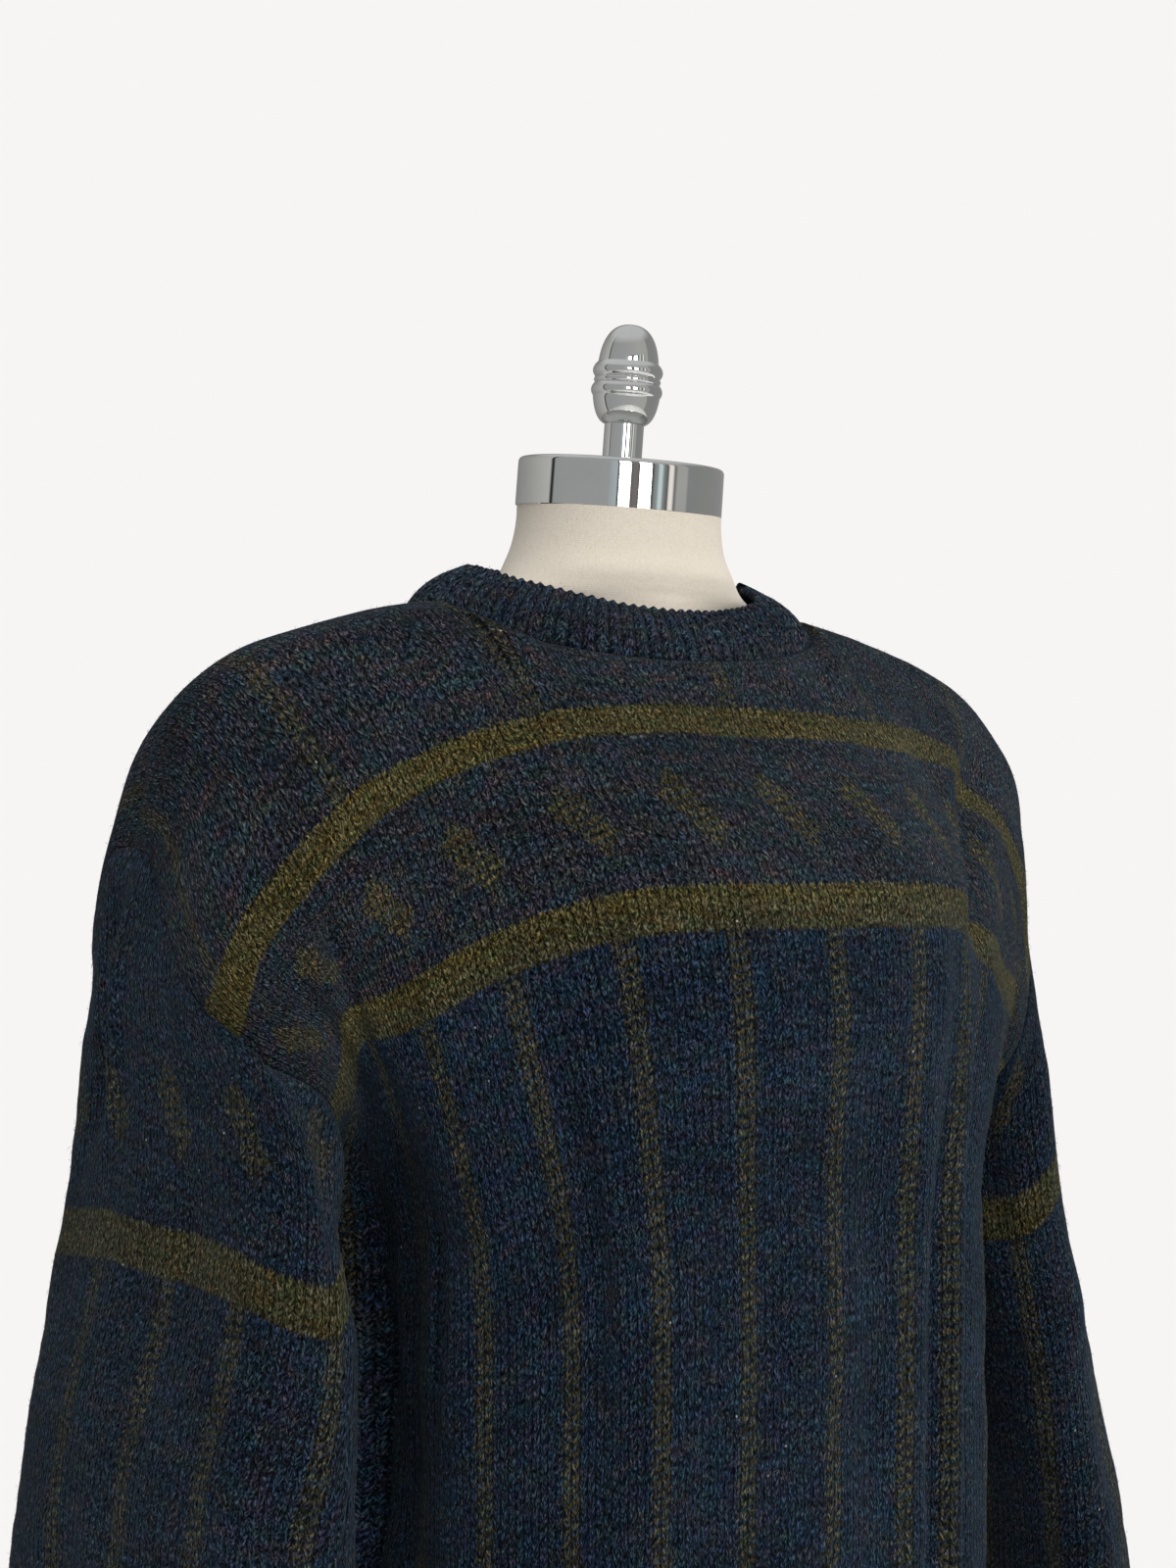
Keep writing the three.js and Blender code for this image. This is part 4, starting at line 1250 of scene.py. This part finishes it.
# The cloths that each mesh of fibres grows on, its wool, and how many fibres it has.
fuzz_pieces = {
    "fuzz_front": (["front"], "body", 62000),
    "fuzz_back": (["back"], "body", 52000),
    "fuzz_sleeve_right": (["right"], "sleeve", 34000),
    "fuzz_sleeve_left": (["left"], "sleeve", 34000),
    "fuzz_neckband": (["neck"], "rib", 6000),
    "fuzz_hem": (["hem_front", "hem_back"], "rib", 10000),
    "fuzz_cuffs": (["cuff_right", "cuff_left"], "rib", 6000),
}
loose_wool = {p: wool(f"wool_{p}_fibres", p, loose=True) for p in ("body", "sleeve", "rib")}
for seed, (name, (keys, pattern, count)) in enumerate(fuzz_pieces.items()):
    fluff = fuzz(name, [outsides[key] for key in keys], count, 30 + seed)
    fluff.data.materials.append(loose_wool[pattern])
    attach(fluff, "root")

# The flat size and area of each cut piece in metres, and what it hangs from.
cuts = {
    "front": ((0.616, 0.610), 0.372, ["form_cover", "back_cloth"]),
    "back": ((0.616, 0.610), 0.374, ["form_cover", "front_cloth"]),
    "right": ((0.508, 0.460), 0.196, ["front_cloth", "back_cloth"]),
    "left": ((0.508, 0.460), 0.196, ["front_cloth", "back_cloth"]),
    "neck": ((0.540, 0.036), 0.019, ["front_cloth", "back_cloth"]),
    "hem_front": ((0.600, 0.068), 0.040, ["front_cloth"]),
    "hem_back": ((0.600, 0.068), 0.040, ["back_cloth"]),
    "cuff_right": ((0.260, 0.066), 0.017, ["sleeve_right_cloth"]),
    "cuff_left": ((0.260, 0.066), 0.017, ["sleeve_left_cloth"]),
}
for key, (flat, area, holders) in cuts.items():
    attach(sweater[key], "root")


# ---- The form's body ----
# A hollow shell to the shape of a general figure, with no arms, under a close cover of cream
# linen that runs up its neck. The sweater's shoulders lie on it.

form_around = 144
ring_steps = 5  # rings for each known section
neck_spread = 74
neck_tilt = math.radians(7.5)
neck_top = 171
cap_radius = 48.5
shoulder_set = 4.1  # the form's shoulders under the outside of the cloth

# Level, half width, front, back, wing and power of the torso's sections.
torso_sections = table(
    [
        (-570, 150, 104, 98, 1, 2),
        (-500, 153, 113, 104, 1, 2),
        (-380, 148, 110, 96, 1, 2),
        (-250, 124, 98, 84, 1, 2),
        (-150, 132, 108, 86, 1, 2),
        (-60, 148, 126, 92, 1, 2),
        (0, 160, 128, 90, 1, 2),
        (40, 178, 100, 84, 0.94, 2),
        (64, 190, 84, 74, 0.76, 1.8),
    ]
)
torso_levels = [-570, -535, -500, -440, -380, -315, -250, -200, -150, -105, -60, -30, 0, 20, 40, 64]
# Along the shoulder line: front, back, wing and power of the yoke's sections.
yoke_sections = table(
    [
        (103, 45, 50, 0.26, 1.6),
        (125, 47, 51, 0.28, 1.6),
        (145, 49, 54, 0.36, 1.6),
        (173, 55, 59, 0.5, 1.6),
        (205, 72, 68, 0.58, 1.6),
    ]
)
yoke_steps = [205, 195, 185, 173, 160, 144, 125, 103]
# Level, half width, front, back, wing, power and share of the tilt of the neck's sections.
neck_sections = [
    (118, 95, 45, 51, 0.3, 1.5, 0),
    (121, 85, 45, 51, 0.4, 1.6, 0),
    (126, 74, 45, 51, 0.6, 1.8, 0.2),
    (132, 64, 46, 52, 0.8, 1.9, 0.5),
    (140, 56.5, 47, 52, 1, 2, 0.8),
    (150, 51.5, 46, 51, 1, 2, 1),
    (161, 49, 46.5, 50, 1, 2, 1),
    (neck_top, cap_radius, cap_radius - 1, cap_radius + 1, 1, 2, 1),
]


def yoke_section(along):
    out, level = shoulder_line(along)
    ahead = shoulder_line(along + 1)
    slope = np.array([ahead[0] - out, ahead[1] - level])
    slope /= np.linalg.norm(slope)
    front, back, wing, power = yoke_sections(along)
    return (
        level - shoulder_set * slope[0],
        out + shoulder_set * slope[1],
        front,
        back,
        wing,
        power,
        0,
    )


def form_ring(section):
    level, half_width, front, back, wing, power, lean = section
    angle = np.linspace(0, 2 * math.pi, form_around, endpoint=False)
    sine, cosine = np.sin(angle), np.cos(angle)
    x = half_width * np.sign(sine) * abs(sine) ** (2 / power)
    rounded = abs(cosine) ** (2 / power)
    depth = np.where(cosine > 0, -front, back) * mix(rounded * bell(x, neck_spread), rounded, wing)
    return np.column_stack([x, depth, level + depth * math.tan(neck_tilt) * lean])


known = [(level, *torso_sections(level), 0) for level in torso_levels]
known += [yoke_section(along) for along in yoke_steps] + neck_sections
steps = np.linspace(0, len(known) - 1, (len(known) - 1) * ring_steps + 1)
rings = np.array([form_ring(row) for row in through(range(len(known)), known, steps)])


def lofted(name, rings, smooth=True):
    """A closed body through rings that run upwards, with an even face over each end."""
    count, around = rings.shape[:2]
    faces = [
        [r * around + k, r * around + (k + 1) % around]
        + [(r + 1) * around + (k + 1) % around, (r + 1) * around + k]
        for r in range(count - 1)
        for k in range(around)
    ]
    faces.append(list(range(around))[::-1])
    faces.append([(count - 1) * around + k for k in range(around)])
    return mesh_piece(name, rings.reshape(-1, 3), faces, None, smooth)


form_cover = lofted("form_cover", rings)

linen_shades = [(0.25, (0.505, 0.440, 0.347)), (0.5, (0.620, 0.555, 0.467)), (0.8, (0.672, 0.622, 0.543))]


def linen():
    """A close plain weave of cream yarns, with slubs and a few dark flecks."""
    m = Finish(bpy.data.materials.new("linen"))
    x, y, z = (part * (1 / metre) for part in m.parts(m.spot()))
    round_way = y.apply("ARCTAN2", x) * 60
    yarn = 0.8
    over = ((round_way / yarn + z / yarn) * math.pi).apply("SINE")
    under = ((round_way / yarn - z / yarn) * math.pi).apply("SINE")
    weave = over * under * 0.5 + 0.5
    slub = m.noise(m.vector(x / 1.1, y / 1.1, z / 1.6), 1.0, 3)
    cloudy = m.noise(m.vector(x, y, z), 0.03, 3)
    fine = m.noise(m.vector(x / 0.7, y / 0.7, z / 0.5), 1.0, 2)
    tone = slub * 0.4 + cloudy * 0.2 + fine * 0.3 + weave * 0.1
    colour = m.shades(tone, linen_shades)
    away, _ = m.strewn(m.vector(x, y, z), 7)
    colour = m.blend(away.below(0.06, 0.02) * 0.35, colour, (0.30, 0.20, 0.12))
    m.relief(weave * 0.25 + slub * 0.4 + fine * 0.4, 0.25)
    return m.settle(Base_Color=colour, Roughness=0.85, Specular_IOR_Level=0.2, Sheen_Weight=0.15)


form_cover.data.materials.append(linen())
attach(form_cover, "root")
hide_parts("form_torso")


# ---- Neck cap and finial ----
# A spun cap closes the neck, and an acorn finial is screwed on top of it for carrying the form.
# Both are turned steel with polished chrome plating. They tilt with the neck.

cap_height = 20.4
form_gap = 0.3


def arc(start, bend, end, steps=8):
    """Points of a smooth bend from start to end, pulled towards a corner."""
    t = np.linspace(0, 1, steps + 1)[:, None]
    start, bend, end = (np.array(p, float) for p in (start, bend, end))
    return ((1 - t) ** 2 * start + 2 * t * (1 - t) * bend + t**2 * end).tolist()


def held(outline, near=0.4):
    """Adds a point close to both ends of each long stretch, which keeps its shading even."""
    full = [outline[0]]
    for start, end in zip(outline, outline[1:]):
        length = math.dist(start, end)
        if length > 4 * near:
            for share in (near / length, 1 - near / length):
                full.append(tuple(mix(np.array(start), np.array(end), share)))
        if length > 1e-6:
            full.append(end)
    return full


def turned(name, outline, base, segments=96, tilt=0.0):
    """A body turned about its own axis, from an outline of radius and height above its base."""
    angle = np.linspace(0, 2 * math.pi, segments, endpoint=False)
    rings = []
    for radius, height in held(outline):
        x, y = radius * np.cos(angle), radius * np.sin(angle)
        ring = np.column_stack([x, y * math.cos(tilt), y * math.sin(tilt)])
        ring += np.array(base) + (0, -height * math.sin(tilt), height * math.cos(tilt))
        rings.append(ring)
    piece = lofted(name, np.array(rings))
    piece.data.set_sharp_from_angle(angle=math.radians(32))
    return piece


cap_base = (0, 1, neck_top + form_gap)
cap_skirt = 2.6  # how far the cap's edge comes down over the linen
cap_edge = cap_radius + 0.4
cap_outline = [
    (cap_radius, -cap_skirt + 0.2),
    (cap_radius + 0.3, -cap_skirt),
    (cap_radius + 0.6, -cap_skirt + 0.4),
    (cap_edge, cap_height - 2.8),
    *arc((cap_edge, cap_height - 2.8), (cap_edge, cap_height), (cap_radius - 2.6, cap_height)),
    (12, cap_height),
    (3, cap_height),
]
finial_base = (
    0,
    1 - (cap_height + form_gap) * math.sin(neck_tilt),
    neck_top + form_gap + (cap_height + form_gap) * math.cos(neck_tilt),
)
finial_outline = [
    (8.6, 0),
    (9.4, 0.4),
    (9.4, 18.2),
    *arc((9.7, 18.0), (14.6, 20.0), (15.9, 31.0), 14),
    *arc((15.9, 31.0), (18.2, 34.0), (15.3, 37.2), 12),
    *arc((15.3, 37.2), (16.4, 38.5), (15.3, 39.8), 8),
    *arc((15.3, 39.8), (18.4, 43.2), (14.3, 47.0), 14),
    *arc((14.3, 47.0), (13.4, 56.1), (9.6, 60.8), 12),
    *arc((9.6, 60.8), (6.2, 64.8), (0.6, 64.8), 10),
]


def chrome():
    """Polished plating with the faint marks of handling."""
    m = Finish(bpy.data.materials.new("chrome"))
    spot = m.spot()
    smears = m.noise(spot, 38, 4, 0.6)
    fine = m.noise(spot, 900, 2)
    rough = smears * 0.05 + fine * 0.02
    m.relief(m.noise(spot, 14, 1), 0.02)
    colour = m.shades(smears, [(0.3, (0.63, 0.63, 0.615)), (0.7, (0.69, 0.69, 0.67))])
    return m.settle(Base_Color=colour, Metallic=1.0, Roughness=rough)


plating = chrome()
neck_cap = turned("polished_cap", cap_outline, cap_base, 160, neck_tilt)
finial = turned("acorn_finial", finial_outline, finial_base, 96, neck_tilt)
for piece, node in ((neck_cap, "neck_cap"), (finial, "finial")):
    piece.data.materials.append(plating)
    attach(piece, "root")
    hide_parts(node)


# ---- Socket, pole and foot ----
# A flanged socket under the form slides on a chromed tube, which stands in a heavy dished foot
# with a satin stove enamel. The foot's flat underside rests on the floor.

pole_radius = 14
foot_radius = 190
foot_height = 14
socket_length = 46
floor_level = -chest_line

foot_outline = [
    (foot_radius - 2.4, 0),
    (foot_radius - 1, 0.4),
    *arc((foot_radius - 1, 0.4), (foot_radius, 0.6), (foot_radius, 2.2), 4),
    (foot_radius, 5),
    *arc((foot_radius, 5), (foot_radius, 9), (foot_radius - 10, 9.4), 8),
    *arc((foot_radius - 10, 9.4), (90, 12.6), (40, foot_height - 0.6), 16),
    (30, foot_height),
    (3, foot_height),
]
socket_base = torso_foot - form_gap - socket_length
socket_outline = [
    (pole_radius + form_gap, 1),
    (pole_radius + 1.2, 0),
    (21, 0),
    *arc((21, 0), (22, 0), (22, 1), 4),
    *arc((22, socket_length - 9), (22, socket_length - 5), (26, socket_length - 5), 6),
    *arc((44.5, socket_length - 5), (46, socket_length - 5), (46, socket_length - 3.5), 4),
    *arc((46, socket_length - 1.4), (46, socket_length), (44.6, socket_length), 4),
    (pole_radius + form_gap, socket_length),
]
pole_base = floor_level + foot_height + form_gap
pole_length = torso_foot - form_gap - pole_base
pole_outline = [
    (pole_radius - 1, 0),
    (pole_radius, 0.8),
    (pole_radius, pole_length - 0.5),
    (pole_radius - 1, pole_length),
]


def enamel():
    """Dark satin enamel with a faint orange peel and a faintly cloudy tone."""
    m = Finish(bpy.data.materials.new("enamel"))
    spot = m.spot()
    peel = m.noise(spot, 700, 2)
    cloudy = m.noise(spot, 9, 4)
    colour = m.shades(cloudy, [(0.3, (0.020, 0.020, 0.022)), (0.7, (0.036, 0.036, 0.038))])
    m.relief(peel, 0.03)
    return m.settle(Base_Color=colour, Roughness=cloudy * 0.2 + 0.28)


foot = turned("enamelled_foot", foot_outline, (0, 0, floor_level), 112)
foot.data.materials.append(enamel())
socket = turned("form_socket_ring", socket_outline, (0, 0, socket_base), 64)
pole = turned("chromed_pole", pole_outline, (0, 0, pole_base), 64)
for piece, node in ((socket, "form_socket"), (pole, "pole"), (foot, "foot")):
    if piece is not foot:
        piece.data.materials.append(plating)
    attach(piece, "root")
    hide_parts(node)


# ---- Floor, light and camera ----
# A plain pale floor in a pale studio. Two tall soft windows light the sweater from beside the camera
# and from its right. Weaker ones at the side and behind bring out its edge, a lamp hangs overhead,
# and a low light reaches its back.

view_turn = math.radians(32)  # the camera looks this far round from straight at the front
view_rise = 2.12  # and so many degrees up
forward = np.array([math.sin(view_turn), math.cos(view_turn), 0])
rightward = np.array([math.cos(view_turn), -math.sin(view_turn), 0])
pale = (0.930, 0.913, 0.905)

bpy.ops.mesh.primitive_circle_add(vertices=128, radius=2.6, fill_type="NGON")
floor = bpy.context.object
floor.name = "floor"
floor_finish = Finish(bpy.data.materials.new("floor_paint"))
cloudy = floor_finish.noise(floor_finish.spot(), 2.2, 3)
floor_colour = floor_finish.shades(cloudy, [(0.3, (0.80, 0.79, 0.78)), (0.7, (0.84, 0.83, 0.82))])
floor.data.materials.append(floor_finish.settle(Base_Color=floor_colour, Roughness=0.8))

# What surrounds the form shows only in its chrome: a pale wall on the left of the camera with a dark
# upright at its edge, then greys that fall away to the right, and the dark frames of two windows.
room_walls = [
    (-180, (0.16, 0.16, 0.16)),
    (-125, (0.34, 0.34, 0.335)),
    (-84, (0.50, 0.50, 0.49)),
    (-82, (0.02, 0.02, 0.02)),
    (-79, (0.02, 0.02, 0.02)),
    (-78, (0.33, 0.34, 0.35)),
    (-25, (0.36, 0.37, 0.38)),
    (40, (0.42, 0.42, 0.41)),
    (78, (0.40, 0.40, 0.39)),
    (80, (0.25, 0.26, 0.26)),
    (180, (0.27, 0.27, 0.27)),
]
window_frames = [
    (-12, (0.38, 0.42, 0.44)),
    (-4, (0.46, 0.51, 0.53)),
    (-3, (0.08, 0.09, 0.10)),
    (12, (0.08, 0.09, 0.10)),
    (13, (0.20, 0.18, 0.18)),
    (19, (0.20, 0.18, 0.18)),
    (20, (0.06, 0.06, 0.07)),
    (36, (0.06, 0.06, 0.07)),
    (37, (0.26, 0.27, 0.27)),
    (41, (0.30, 0.34, 0.34)),
    (43, (0.62, 0.74, 0.76)),
    (46, (0.62, 0.74, 0.76)),
    (48, (0.26, 0.28, 0.28)),
    (54, (0.10, 0.10, 0.10)),
    (55, (0.95, 0.90, 0.84)),
    (60, (0.95, 0.90, 0.84)),
    (61, (0.10, 0.10, 0.10)),
    (66, (0.42, 0.42, 0.41)),
]
studio = Finish(bpy.data.worlds.new("studio"))
bpy.context.scene.world = studio.made
x, y, z = studio.parts(studio.spot("Generated"))
turn = (x * rightward[0] + y * rightward[1]).apply("ARCTAN2", x * -forward[0] + y * -forward[1])
place = turn / (2 * math.pi) + 0.5
walls = studio.shades(place, [(turned / 360 + 0.5, colour) for turned, colour in room_walls])
frames = studio.shades(place, [(turned / 360 + 0.5, colour) for turned, colour in window_frames])
beside = (turn - math.radians(27)).size().below(math.radians(39), 0.02)
at_windows = beside * (z - 0.02).size().below(0.26, 0.02)
ceiling = (1 - z).below(0.30, 0.10)
room_light = studio.blend(ceiling, studio.blend(at_windows, walls, frames), (0.55, 0.56, 0.57))
room = studio.add("ShaderNodeBackground")
room.inputs["Strength"].default_value = 1.2
studio.feed(room.inputs["Color"], room_light)
backdrop = studio.tree.nodes["Background"]
backdrop.inputs["Color"].default_value = (*pale, 1)
seen = studio.add("ShaderNodeLightPath")
either = studio.add("ShaderNodeMixShader")
for socket, output in zip(
    either.inputs, (seen.outputs["Is Camera Ray"], room.outputs[0], backdrop.outputs[0])
):
    studio.feed(socket, output)
studio.feed(studio.tree.nodes["World Output"].inputs[0], either.outputs[0])


def window(name, turn, distance, width, height, level, power):
    """A tall soft light, turned from the camera's side of the object towards its right."""
    away = -forward * math.cos(math.radians(turn)) + rightward * math.sin(math.radians(turn))
    data = bpy.data.lights.new(name, "AREA")
    data.shape, data.size, data.size_y, data.energy = "RECTANGLE", width, height, power
    light = bpy.data.objects.new(name, data)
    bpy.context.scene.collection.objects.link(light)
    light.location = away * distance + np.array([0, 0, level])
    light.rotation_euler = (math.pi / 2, 0, math.atan2(away[1], away[0]) + math.pi / 2)
    return light


window("near_window", 4.6, 2.8, 0.60, 1.4, 1.55, 13)
window("far_window", 27, 2.8, 0.65, 1.4, 1.55, 24)
side_window = window("side_window", 66, 2.8, 0.60, 1.4, 1.55, 10)
rim_window = window("rim_window", 116, 2.6, 0.80, 1.6, 1.30, 22)
back_window = window("back_window", 172, 2.8, 1.0, 0.9, 0.85, 60)
back_window.visible_camera = False
lamp = window("overhead_lamp", 12, 1.1, 1.2, 1.2, 3.4, 24)
lamp.rotation_euler[0] = math.radians(27)
for light in (side_window, rim_window, back_window, lamp):
    light.visible_glossy = False

camera_data = bpy.data.cameras.new("camera")
camera_data.lens = 51.75
camera = bpy.data.objects.new("camera", camera_data)
bpy.context.scene.collection.objects.link(camera)
camera.location = (-0.577, -0.895, 1.260)
camera.rotation_euler = (math.radians(90 + view_rise), 0, -view_turn)
bpy.context.scene.camera = camera
bpy.context.scene.view_settings.view_transform = "Standard"
